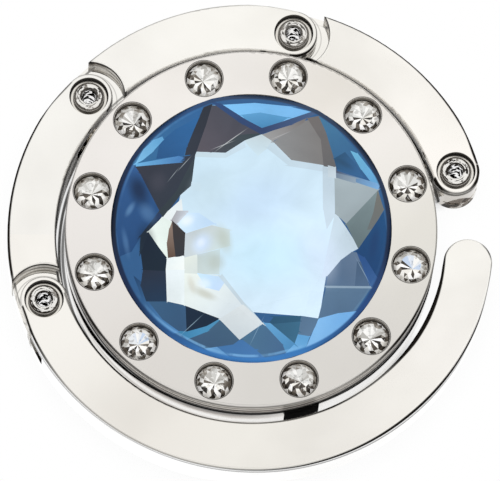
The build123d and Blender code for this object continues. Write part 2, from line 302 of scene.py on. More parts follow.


# The arm and its lug: painted reflection tones round the ring, painted dark reflections along its edges, and painted
# shade in its hollows
arm = {
    "armReflectionTones": [
        (-180, "f8f5ef"), (-150, "f6f3ed"), (-120, "ece8e1"), (-90, "f0ede6"), (-65, "f2efe9"), (-48, "faf7f1"),
        (-30, "fefbf6"), (-8, "fffdf7"), (20, "fefaf4"), (45, "fffcf6"), (90, "fefcf6"), (135, "f9f7f2"),
        (180, "f6f4ef"),
    ],
    # painted dark reflections along the edges: degrees, place, half width, strength; a place is the distance from the
    # disc's axis, seen from above
    "outerLine": [
        (-180, 22.43, 0.07, 1.0), (-170, 22.43, 0.06, 1.0), (-166, 22.42, 0.025, 0.4), (-163, 22.41, 0.04, 1.0),
        (-153, 22.38, 0.05, 1.0), (-148, 22.43, 0.05, 0.85), (-139, 22.47, 0.04, 0.5), (-128, 22.47, 0.04, 0.4),
        (-112, 22.5, 0.04, 0.4), (-98, 22.56, 0.04, 0.5), (-88, 22.62, 0.035, 0.8), (-78, 22.65, 0.035, 1.0),
        (-66, 22.63, 0.05, 1.0), (-57, 22.6, 0.06, 1.0), (-50, 22.58, 0.065, 1.0), (-42, 22.6, 0.065, 1.0),
        (-33, 22.63, 0.055, 1.0), (-20, 22.64, 0.05, 1.0), (-11, 22.53, 0.04, 0.8), (-6, 22.47, 0.04, 0.6),
        (14, 22.43, 0.06, 1.0), (22, 22.43, 0.075, 1.0), (34, 22.43, 0.065, 1.0), (47, 22.45, 0.055, 1.0),
        (70.5, 22.47, 0.055, 1.0), (71.5, 22.44, 0.02, 0.1), (78, 22.42, 0.03, 0.2), (92, 22.44, 0.045, 0.35),
        (110, 22.45, 0.04, 0.45), (130, 22.46, 0.04, 0.6), (150, 22.44, 0.055, 1.0), (180, 22.43, 0.07, 1.0),
    ],
    "outerEcho": [
        (-180, 22.6, 0.03, 0.0), (-158, 22.62, 0.03, 0.3), (-148, 22.7, 0.03, 0.45), (-120, 22.66, 0.025, 0.45),
        (-100, 22.76, 0.025, 0.5), (-85, 22.85, 0.025, 0.6), (-60, 22.9, 0.025, 0.7), (-45, 22.88, 0.025, 0.7),
        (-30, 22.84, 0.02, 0.5), (-22, 22.48, 0.02, 0.0), (-18, 22.8, 0.03, 0.8), (-12, 22.7, 0.03, 0.8),
        (-7, 22.62, 0.02, 0.0), (180, 22.6, 0.03, 0.0),
    ],
    "innerLine": [
        (-180, 18.0, 0.05, 0.9), (-170, 18.0, 0.05, 0.9), (-160, 18.02, 0.04, 0.6), (-152, 18.05, 0.07, 1.0),
        (-140, 18.05, 0.06, 1.0), (-130, 18.07, 0.045, 1.0), (-118, 18.09, 0.04, 0.9), (-88, 18.1, 0.03, 0.65),
        (-78, 18.1, 0.045, 0.8), (-66, 18.1, 0.055, 1.0), (-56, 18.1, 0.045, 0.8), (-49, 18.11, 0.055, 0.8),
        (-41, 18.12, 0.08, 1.0), (-34, 18.14, 0.12, 1.0), (-26, 18.12, 0.13, 1.0), (-16, 18.08, 0.1, 1.0),
        (-9, 18.05, 0.06, 1.0), (0, 18.0, 0.03, 1.0), (9, 17.8, 0.05, 1.0), (14, 17.72, 0.06, 0.9),
        (20, 17.66, 0.05, 0.9), (32, 17.66, 0.045, 0.9), (46, 17.7, 0.045, 0.75), (60, 17.78, 0.045, 0.6),
        (68, 17.8, 0.05, 0.7), (71, 17.84, 0.13, 1.0), (74, 17.88, 0.1, 1.0), (77, 17.84, 0.035, 0.5),
        (116, 17.78, 0.045, 0.5), (144, 17.88, 0.04, 0.5), (158, 17.98, 0.04, 0.8), (180, 18.0, 0.05, 0.9),
    ],
    "narrowFrom": 3.6,  # from where beside a hinge the lines draw in to the fork's end
    "tipRadius": 20.25,
    "tipAngle": -7.5,
    # painted dark reflections round the hook's tip: direction from the middle of its end, distance from it
    "tipLine": [
        (-180, 2.2, 0.03, 0.0), (-4, 2.2, 0.03, 0.4), (8, 2.2, 0.04, 0.6), (22, 2.19, 0.05, 0.9),
        (45, 2.19, 0.045, 0.8), (62, 2.2, 0.02, 0.2), (120, 2.2, 0.02, 0.15), (150, 2.2, 0.03, 0.6),
        (180, 2.2, 0.035, 0.9),
    ],
    # painted dark reflections and shade round the fork ends: direction from the hinge, distance from it
    "firstEar": [
        (-180, 2.1, 0.06, 1.0), (-150, 2.14, 0.07, 1.0), (-128, 2.2, 0.06, 1.0), (-100, 2.2, 0.035, 0.7),
        (-60, 2.2, 0.04, 0.8), (-35, 2.16, 0.07, 1.0), (0, 2.13, 0.085, 1.0), (60, 2.13, 0.075, 1.0),
        (100, 2.13, 0.06, 0.9), (150, 2.1, 0.05, 0.3), (180, 2.1, 0.06, 1.0),
    ],
    "firstEcho": [
        (-180, 2.5, 0.04, 0.6), (-150, 2.45, 0.05, 0.6), (-128, 2.4, 0.04, 0.7), (-90, 2.38, 0.035, 0.75),
        (-50, 2.36, 0.035, 0.7), (-20, 2.3, 0.03, 0.3), (0, 2.3, 0.03, 0.0), (180, 2.5, 0.04, 0.0),
    ],
    "earLine": [
        (-180, 2.15, 0.03, 0.3), (-130, 2.15, 0.03, 0.3), (-112, 2.22, 0.06, 0.8), (-98, 2.24, 0.07, 1.0),
        (-75, 2.24, 0.06, 1.0), (-50, 2.24, 0.05, 1.0), (-20, 2.18, 0.035, 0.9), (30, 2.14, 0.035, 0.6),
        (70, 2.13, 0.03, 0.5), (120, 2.13, 0.03, 0.45), (180, 2.15, 0.03, 0.3),
    ],
    "earEcho": [
        (-180, 2.5, 0.03, 0.0), (-110, 2.5, 0.02, 0.2), (-80, 2.5, 0.02, 0.7), (-50, 2.46, 0.02, 0.7),
        (-20, 2.45, 0.035, 0.5), (20, 2.4, 0.03, 0.2), (60, 2.4, 0.03, 0.0), (180, 2.5, 0.03, 0.0),
    ],
    # a painted shade line on each tongue under the ear's edge: distance from the hinge, half width, strength
    "tongueLine": (2.62, 0.03, 0.35),
    # how strongly painted shade darkens the outer end of the hollow beside each hinge, and the hollow's painted
    # reflection and shade colours from the ground up
    "hollowShadeShare": [
        (-180, 0.0), (-172, 0.9), (-160, 0.9), (-150, 0.0), (50, 0.0), (60, 0.8), (85, 0.8), (100, 0.2), (112, 1.0),
        (140, 1.0), (150, 0.0), (180, 0.0),
    ],
    "hollowReflectionTones": [
        (0.0, "efede8"), (0.6, "f4f2ee"), (0.64, "8f8a82"), (0.7, "8f8a82"), (0.74, "f4f2ee"), (0.86, "efede8"),
        (0.9, "6b645c"), (0.93, "24211e"), (1.0, "1c1916"),
    ],
    "hollowShadeTones": [
        (0.0, "efede8"), (0.6, "f4f2ee"), (0.66, "d6d1ca"), (0.7, "8f8a82"), (0.76, "d6d1ca"), (0.82, "6b645c"),
        (0.88, "4a443e"), (0.93, "1c1916"), (1.0, "15120f"),
    ],
    # how black the painted shadow at its inner end is
    "hollowShadow": [(-180, 0.0), (112, 0.0), (118, 0.9), (138, 0.9), (142, 0.0), (180, 0.0)],
    "paintedDark": "1c1916",
    "shadeMottleScale": 420.0,
    # painted shade at the foot of the arm's inner wall at the rear, where the disc's edge covers it, and the painted
    # shade of rear walls
    "wallLine": [
        (-180, 17.4, 0.05, 0.0), (8, 17.4, 0.05, 0.0), (14, 17.38, 0.05, 0.4), (40, 17.38, 0.05, 0.0),
        (124, 17.42, 0.05, 0.0), (134, 17.36, 0.05, 0.0), (142, 17.35, 0.05, 0.5), (150, 17.34, 0.05, 0.8),
        (162, 17.33, 0.05, 0.9), (172, 17.34, 0.05, 0.0), (180, 17.4, 0.05, 0.0),
    ],
    "wallFootShade": "4a443e",
    "rearWallShade": "bfbab3",
    # pockets round the rivets, with a painted shade rim
    "pocketFloor": "e4e0d8",
    "pocketRimShade": "24211e",
    "pocketEdge": (1.62, 1.74),
    # painted reflections and shade on the lug's underside, below the first fork
    "lugTurn": -74.2,  # the direction in which its round end looks, in degrees
    "lugRound": 0.1,
    "lugEdge": (2.66, 2.74),
    "lugScale": 620.0,
    "lugTone": "8a7f75",
    "lugDark": "3a332d",
    "lugLight": "e6e2dc",
    "lugCorner": "2a2622",
}


def ringLines(spot):  # painted dark reflections along the ring's edges and round the hook's tip
    narrowing = abs(spot.sideways).fade(arm["narrowFrom"], 0.5) * spot.sideways.fade(-0.4, 0.0)
    narrowing = narrowing * spot.hinged * layout["earInset"]
    outside = spot.reach + spot.depth * spot.slope + narrowing
    inside = spot.reach - spot.depth * spot.slope - narrowing * 0.5
    middle = (layout["ringOutside"] + layout["ringInside"]) / 2
    outer = runningLine(arm["outerLine"], spot.turn, outside).most(runningLine(arm["outerEcho"], spot.turn, outside))
    inner = runningLine(arm["innerLine"], spot.turn, inside)
    tip = polar(arm["tipRadius"], arm["tipAngle"])
    tipX, tipY = spot.x - tip.x, spot.y - tip.y
    tipLine = runningLine(arm["tipLine"], turnOf(tipX, tipY), lengthOf(tipX, tipY)) * tipY.fade(0.0, 0.3)
    lines = (outer * spot.reach.fade(middle, middle + 0.5)).most(inner * spot.reach.fade(middle, middle - 0.5))
    return lines.most(tipLine * spot.depth.fade(1.2, 1.0)) * spot.depth.fade(3.3, 3.1)


def earLines(spot):  # painted dark reflections and shade round the fork ends, and 1 where an ear is
    fall = ((spot.direction - 0.5) * (2 * math.pi)).join("SINE") * -plating["viewSlope"]
    around = spot.hinge + spot.depth * fall.most(0.0)
    first, other = [
        runningLine(arm[line], spot.direction, around).most(runningLine(arm[echo], spot.direction, around))
        for line, echo in (("firstEar", "firstEcho"), ("earLine", "earEcho"))
    ]
    ear, radius = layout["linkEar"], layout["earRadius"]
    onEar = spot.hinged * spot.sideways.fade(0.12, -0.12) * spot.depth.fade(ear + 0.1, ear)
    return other + (first - other) * spot.isFirst, onEar * spot.hinge.fade(radius + 0.1, radius + 0.02)


def hollowLook(shader, spot):  # the hollow beside a fork end: where it is, and its colour of painted reflections and painted shade
    height = (spot.z - layout["hollowFloor"]) * (1 / (layout["ringTop"] - layout["hollowFloor"]))
    mottle = shader.noise(shader.place(), arm["shadeMottleScale"], 3.0, 1.0)
    unshaded = rampOf(height, arm["hollowReflectionTones"])
    shadedTone = rampOf(height + (mottle - 0.5) * 0.35, arm["hollowShadeTones"])
    # painted shade over the outer end of each hollow, and a painted shadow at the inner end of one
    shadeShare = ringRamp(spot.turn, arm["hollowShadeShare"]) * spot.reach.fade(20.4, 21.6)
    paintedDark = ringRamp(spot.turn, arm["hollowShadow"]) * spot.reach.fade(19.1, 18.4)
    tone = shader.mix(paintedDark, shader.mix(shadeShare, unshaded, shadedTone), arm["paintedDark"])
    return spot.below * abs(spot.hinge - layout["hollowRadius"]).fade(0.3, 0.15) * spot.lean.fade(0.8, 0.5), tone


def lugLook(shader, spot, colour):  # the lug's round end and neck under the first fork: colour of painted reflections and shade, and where it is dull
    hinge, ahead = polar(layout["hingeRadius"], layout["firstHinge"]), polar(1.0, arm["lugTurn"])
    x, y = spot.x - hinge.x, spot.y - hinge.y
    low = spot.z.fade(4.2, 4.1) * spot.hinge.fade(2.7, 2.4) * spot.x.fade(17.0, 17.5)
    low = low * spot.y.fade(10.0, 9.5) * spot.y.fade(0.0, 0.5)
    chord = x * ahead.x + y * ahead.y - spot.depth * (plating["viewSlope"] * ahead.y)
    crescent = low * (chord - x * x * arm["lugRound"]).fade(*arm["lugEdge"])
    patches = shader.noise(shader.place(), arm["lugScale"], 4.0, 1.0)
    tone = shader.mix(patches.fade(0.5, 0.58), arm["lugTone"], arm["lugDark"])
    tone = shader.mix(patches.fade(0.44, 0.38), tone, arm["lugLight"])
    tone = shader.mix(x.fade(-0.4, -1.1), tone, arm["lugCorner"])
    neck = low * spot.reach.fade(18.9, 18.5) * y.fade(-1.7, -1.4)
    return shader.mix(neck, shader.mix(crescent, colour, tone), arm["lugDark"]), (crescent * 0.7).most(neck)


def makeArmPlating():
    material, shader = newMaterial("armPlating")
    spot = Spot(shader, layout["ringTop"])
    findHinge(spot)
    spot.lean, spot.slope = shader.lean(), viewSlope(spot.turn)
    # the first link's fork, at the lug's hinge
    spot.isFirst = spot.turn.fade(0.6, 0.58) * spot.turn.fade(0.5, 0.52)
    spot.below = spot.depth.fade(0.02, 0.1) * spot.hinged
    # walls, painted white as a reflection at the front and in painted shade at the rear, and the arm's inner wall at
    # the rear, painted white with a painted shade line at its foot
    walls = abs(spot.lean).fade(0.4, 0.2) * spot.depth.fade(layout["edgeRound"], layout["edgeRound"] + 0.1)
    wallTone = shader.mix(spot.y.fade(4.0, 0.0), arm["rearWallShade"], "ffffff")
    colour = shader.mix(walls, ringRamp(spot.turn, arm["armReflectionTones"]), wallTone)
    farWall = walls * spot.reach.fade(layout["ringInside"] + 0.3, layout["ringInside"] + 0.2) * spot.y.fade(0.0, 3.0)
    seen = spot.reach - (layout["faceTop"] - spot.z) * spot.slope
    foot = runningLine(arm["wallLine"], spot.turn, seen)
    colour = shader.mix(farWall, colour, shader.mix(foot, "ffffff", arm["wallFootShade"]))
    # painted dark reflections and shade along the edges
    ears, onEar = earLines(spot)
    lines = (ringLines(spot) * (1 - onEar)).most(ears * onEar)
    colour = shader.mix(lines, colour, plating["paintedLineDark"])
    # painted shade in the hollows, on the tongues and round the pockets
    hollow, hollowTone = hollowLook(shader, spot)
    colour = shader.mix(hollow, colour, hollowTone)
    # a painted shade line on the tongue beside each ear
    place, half, strength = arm["tongueLine"]
    tongue = abs(spot.hinge - place).fade(half + 0.05, half) * abs(spot.depth - layout["linkEar"] - 0.1).fade(0.3, 0.2)
    tongue = tongue * spot.lean.fade(0.9, 0.97) * spot.hinged * (1 - spot.isFirst) * strength
    colour = shader.mix(tongue, colour, plating["paintedLineDark"])
    pocket = spot.hinge.fade(layout["pocketRadius"] + 0.06, layout["pocketRadius"] - 0.02)
    pocket = pocket * spot.below * spot.depth.fade(1.0, 0.9)
    pocketEdge = spot.hinge.fade(*arm["pocketEdge"])
    colour = shader.mix(pocket, colour, shader.mix(pocketEdge, arm["pocketFloor"], arm["pocketRimShade"]))
    colour, lugDull = lugLook(shader, spot, colour)
    rounds = spot.lean.fade(0.985, 0.96) * spot.lean.fade(0.02, 0.1)
    dull = lines.most(pocket * pocketEdge).most(lugDull).most(rounds * 0.85).most(hollow * 0.7)
    finishPlating(shader, colour, dull.most(farWall * foot.most(0.85)))
    return material


# The face plate: painted reflection tones round the face, painted reflections in its wall, and painted dark reflections
# and shade round it
facePlate = {
    "faceReflectionTones": [
        (-180, "ece8e4"), (-135, "e1ddd8"), (-90, "dad7d2"), (-45, "dddad5"), (0, "e8e5dd"), (35, "f3efea"),
        (60, "f1ece4"), (90, "f8f4f0"), (120, "f7f3ee"), (150, "f1ede9"), (180, "ece8e4"),
    ],
    # reflections in the wall, from its top down
    "wallTones": [
        (0.0, "57514b"), (0.1, "57514b"), (0.15, "dedad4"), (0.26, "d8d4ce"), (0.3, "8a847c"), (0.37, "8a847c"),
        (0.42, "d8d4ce"), (0.5, "d2cdc7"), (0.56, "4a443e"), (0.67, "3f3a35"), (0.72, "b4aea7"), (0.8, "aaa39c"),
        (0.84, "24211e"), (1.0, "100e0d"),
    ],
    "wallHeight": 2.15,
    # painted dark reflections round the face's edge and painted shade in the groove below it: degrees, place, half
    # width, strength
    "faceLine": [
        (-180, 17.22, 0.04, 0.75), (-160, 17.28, 0.05, 0.95), (-148, 17.3, 0.06, 1.0), (-132, 17.26, 0.045, 0.85),
        (-110, 17.26, 0.035, 0.7), (-90, 17.24, 0.03, 0.6), (-62, 17.26, 0.03, 0.55), (-50, 17.24, 0.04, 0.8),
        (-40, 17.23, 0.06, 1.0), (-29, 17.21, 0.055, 1.0), (-18, 17.18, 0.035, 0.85), (-5, 17.13, 0.03, 0.6),
        (10, 17.12, 0.03, 0.6), (40, 17.1, 0.025, 0.35), (140, 17.1, 0.025, 0.35), (165, 17.14, 0.03, 0.6),
        (180, 17.22, 0.04, 0.75),
    ],
    "grooveLine": [
        (-180, 17.5, 0.04, 0.7), (-170, 17.85, 0.04, 0.9), (-160, 17.92, 0.05, 1.0), (-150, 18.02, 0.08, 1.0),
        (-140, 18.04, 0.07, 1.0), (-130, 18.04, 0.055, 1.0), (-120, 18.0, 0.04, 0.95), (-105, 17.97, 0.03, 0.9),
        (-85, 17.97, 0.03, 0.85), (-70, 17.97, 0.03, 0.9), (-60, 17.95, 0.035, 1.0), (-50, 17.9, 0.045, 1.0),
        (-40, 17.8, 0.05, 1.0), (-30, 17.68, 0.055, 1.0), (-20, 17.5, 0.055, 1.0), (-12, 17.4, 0.045, 1.0),
        (-5, 17.28, 0.03, 0.9), (8, 17.2, 0.02, 0.0), (150, 17.2, 0.02, 0.0), (170, 17.3, 0.03, 0.5),
        (180, 17.5, 0.04, 0.7),
    ],
    # painted reflections and shade in the sockets of the stones, darker from the face down
    "socketShadeTones": [
        (0.0, "8f8a82"), (0.18, "a19b93"), (0.3, "8f8a82"), (0.62, "a8a29a"), (0.78, "6b655e"), (1.0, "35312d"),
    ],
    "socketDepth": 0.95,
    # a painted dark ring of shade round each socket on the face: distance from the stone's middle, half width, strength
    "stoneRim": (1.775, 0.035, 0.9),
}


def makeFacePlating():
    material, shader = newMaterial("facePlating")
    spot = Spot(shader, layout["faceTop"])
    stone = roundPlace(spot, layout["stoneCircle"], layout["firstStone"], layout["stonePitch"])[0]
    rim = layout["discRadius"]
    wander = shader.noise(shader.vector(spot.x * 0.25, spot.y * 0.25, spot.z * 3.0), 1.0, 3.0, 0.0, 0.6)
    level = (spot.depth + (wander - 0.5) * 0.3) * (1 / facePlate["wallHeight"])
    wall = spot.reach.fade(rim - 0.05, rim - 0.02) * spot.depth.fade(0.22, 0.32)
    # painted reflection tones round the face, and painted reflections in its wall at the front
    colour = ringRamp(spot.turn, facePlate["faceReflectionTones"])
    colour = shader.mix(wall * spot.y.fade(4.0, 1.0), colour, rampOf(level, facePlate["wallTones"]))
    # painted dark reflections round the face's edge, painted shade in the groove, and a painted dark ring of shade
    # round each stone
    seen = spot.reach + spot.depth * viewSlope(spot.turn)
    groove = runningLine(facePlate["grooveLine"], spot.turn, seen)
    lines = runningLine(facePlate["faceLine"], spot.turn, seen).most(groove) * spot.reach.fade(rim - 0.4, rim - 0.35)
    place, half, strength = facePlate["stoneRim"]
    stoneRim = abs(stone - place).fade(half + 0.03, half - 0.02) * spot.depth.fade(0.05, 0.02) * strength
    lines = lines.most(stoneRim)
    colour = shader.mix(lines, colour, plating["paintedLineDark"])
    # painted reflections and shade in the sockets
    socket = spot.depth.fade(0.01, 0.03) * spot.reach.fade(rim - 0.35, rim - 0.4)
    socketTone = rampOf(spot.depth * (1 / facePlate["socketDepth"]), facePlate["socketShadeTones"])
    colour = shader.mix(socket, colour, socketTone)
    rounds = shader.lean().fade(0.985, 0.96) * spot.reach.fade(rim - 0.5, rim - 0.4)
    finishPlating(shader, colour, (socket * 0.7).most(lines).most(wall * 0.2).most(rounds * 0.6))
    return material


# The base casting: painted reflections in the pale band under the groove, and painted shade in the groove
baseBand = {
    "baseReflectionTones": [(-180, "e0ddd7"), (-90, "e9e7e2"), (0, "dedbd5"), (90, "d8d5cf"), (180, "e0ddd7")],
    # painted brown reflections in the band, from its foot up, and the painted white reflection that takes their place,
    # both dark under the groove with painted shade
    "bandTones": [
        (0.0, "b9b1a9"), (0.12, "e4e0db"), (0.28, "fffefc"), (0.44, "f8f6f3"), (0.56, "cfc8c1"), (0.68, "9c928a"),
        (0.8, "6b625a"), (0.88, "4a433d"), (0.95, "1a1816"), (1.0, "100e0d"),
    ],
    "bandLight": [(0.0, "ffffff"), (0.84, "ffffff"), (0.9, "8f8a84"), (0.95, "24211e"), (1.0, "100e0d")],
    # where the band shows the painted white reflection: 1, and where painted brown reflections run along it: 0
    "bandShare": [
        (-180, 0.3), (-160, 0.1), (-130, 0.0), (-95, 0.1), (-80, 0.6), (-66, 1.0), (10, 1.0), (30, 0.4), (150, 0.3),
        (180, 0.3),
    ],
    "grooveShade": "0c0b0a",
}


def makeBasePlating():
    material, shader = newMaterial("basePlating")
    spot = Spot(shader, layout["faceTop"])
    low, high = layout["bandLow"], layout["grooveLow"]
    wander = shader.noise(shader.vector(spot.x * 0.3, spot.y * 0.3, spot.z * 2.0), 1.0, 4.0, 0.0, 0.6)
    level = (spot.z - low) * (1 / (high - low))
    brown = rampOf(level + (wander - 0.5) * 0.25, baseBand["bandTones"])
    bandTone = shader.mix(ringRamp(spot.turn, baseBand["bandShare"]), brown, rampOf(level, baseBand["bandLight"]))
    onBand = spot.z.fade(low - 0.6, low)
    colour = shader.mix(onBand, ringRamp(spot.turn, baseBand["baseReflectionTones"]), bandTone)
    # painted shade in the groove
    line = runningLine(facePlate["grooveLine"], spot.turn, spot.reach + spot.depth * viewSlope(spot.turn))
    groove = spot.z.fade(high - 0.08, high - 0.03).most(line * onBand)
    colour = shader.mix(groove, colour, baseBand["grooveShade"])
    finishPlating(shader, colour, groove.most(0.1), 0.02)
    return material


# The hollow rivets: painted reflections and shade on the rolled head and in the mouth of the bore, and painted shade
# with painted highlights for what shows in it
rivets = {
    "rivetReflectionTones": [
        (0.0, "211e1b"), (0.5, "3a352f"), (0.56, "f4f2ee"), (0.8, "efede8"), (0.84, "6b645c"), (0.87, "2a2622"),
        (0.9, "3a352f"), (0.93, "d6d2cb"), (0.96, "8f8a82"), (1.0, "2a2622"),
    ],
    "radius": 1.5,
    "dark": "27231f",
    "light": "f1efea",
    "stroke": "6b645c",
    "bore": "15120f",
    "mouthRadius": 0.86,
    "boreRadius": 0.7,
    "strokeScale": 1100.0,
    "glimpseScale": 1500.0,
}


def makeRivetPlating():
    material, shader = newMaterial("rivetPlating")
    spot = Spot(shader)
    findHinge(spot)
    angle = (spot.direction - 0.5) * (2 * math.pi)
    cosine, sine = angle.join("COSINE"), angle.join("SINE")
    segments = shader.noise(shader.vector(cosine, sine, spot.hinge * 4.0 + spot.turn * 30.0), 1.5, 3.0, 0.8)
    strokes = shader.noise(shader.place(), rivets["strokeScale"], 3.0, 1.0)
    patches = shader.noise(shader.place(), rivets["glimpseScale"], 2.0, 1.0)
    head = spot.hinge.fade(0.78, 0.86) * spot.hinge.fade(1.34, 1.26)
    mouth = spot.hinge.fade(rivets["mouthRadius"] + 0.04, rivets["mouthRadius"] - 0.04)
    bore = spot.hinge.fade(rivets["boreRadius"] + 0.02, rivets["boreRadius"] - 0.02)
    glimpse = (patches + sine * 0.12).fade(0.62, 0.58)
    # painted reflections and shade round the rivet from its bore out, dark patches and strokes on its head, painted
    # shade with a painted highlight in the mouth, and painted shade with painted highlights in the bore
    colour = rampOf(spot.hinge * (1 / rivets["radius"]), rivets["rivetReflectionTones"])
    colour = shader.mix(head * segments.fade(0.52, 0.55), colour, rivets["dark"])
    colour = shader.mix(head * strokes.fade(0.6, 0.64) * 0.8, colour, rivets["stroke"])
    mouthTone = shader.mix((sine + (segments - 0.5) * 2.5).fade(-0.35, -0.6), rivets["dark"], rivets["light"])
    colour = shader.mix(mouth, colour, mouthTone)
    colour = shader.mix(bore, colour, shader.mix(glimpse, rivets["bore"], "ffffff"))
    dull = (bore * (1 - glimpse)).most(spot.hinge.fade(1.3, 1.38) * 0.7).most((1 - bore) * 0.4)
    finishPlating(shader, colour, dull, 0.03)
    return material


dress(["first_link", "second_link", "third_link", "hook_link", "swivel_lug"], makeArmPlating())
dress(["face_plate"], makeFacePlating())
dress(["base_casting", "swivel_washer"], makeBasePlating())
dress([f"hinge_rivet_{index + 1}" for index in range(4)], makeRivetPlating())
print("plating done")


# Magnets and rubber pad: colour, colour of specks, scale of the grain per metre, roughness
darkPieces = {
    "magnetBlack": ((0.004, 0.0037, 0.0033, 1), (0.02, 0.019, 0.017, 1), 2600.0, 0.85),
    "padRubber": ((0.045, 0.045, 0.047, 1), (0.11, 0.11, 0.11, 1), 1500.0, 0.8),
    "grainDepth": 0.03,
}


def makeDarkMaterial(name):
    material, shader = newMaterial(name)
    colour, speck, grainScale, roughness = darkPieces[name]
    grain = shader.noise(shader.place(), grainScale, 5.0)
    bump = {"Strength": 0.5, "Distance": darkPieces["grainDepth"] * millimetre, "Height": grain}
    sockets = {"Base Color": shader.mix(grain.fade(0.55, 0.78), colour, speck), "Roughness": roughness}
    sockets |= {"Specular IOR Level": 0.04, "Normal": shader.node("ShaderNodeBump", None, bump)}
    finishMaterial(shader, sockets)
    return material


dress(["disc_magnet", "hook_magnet"], makeDarkMaterial("magnetBlack"))
dress(["anti_slip_pad"], makeDarkMaterial("padRubber"))
print("dark pieces done")
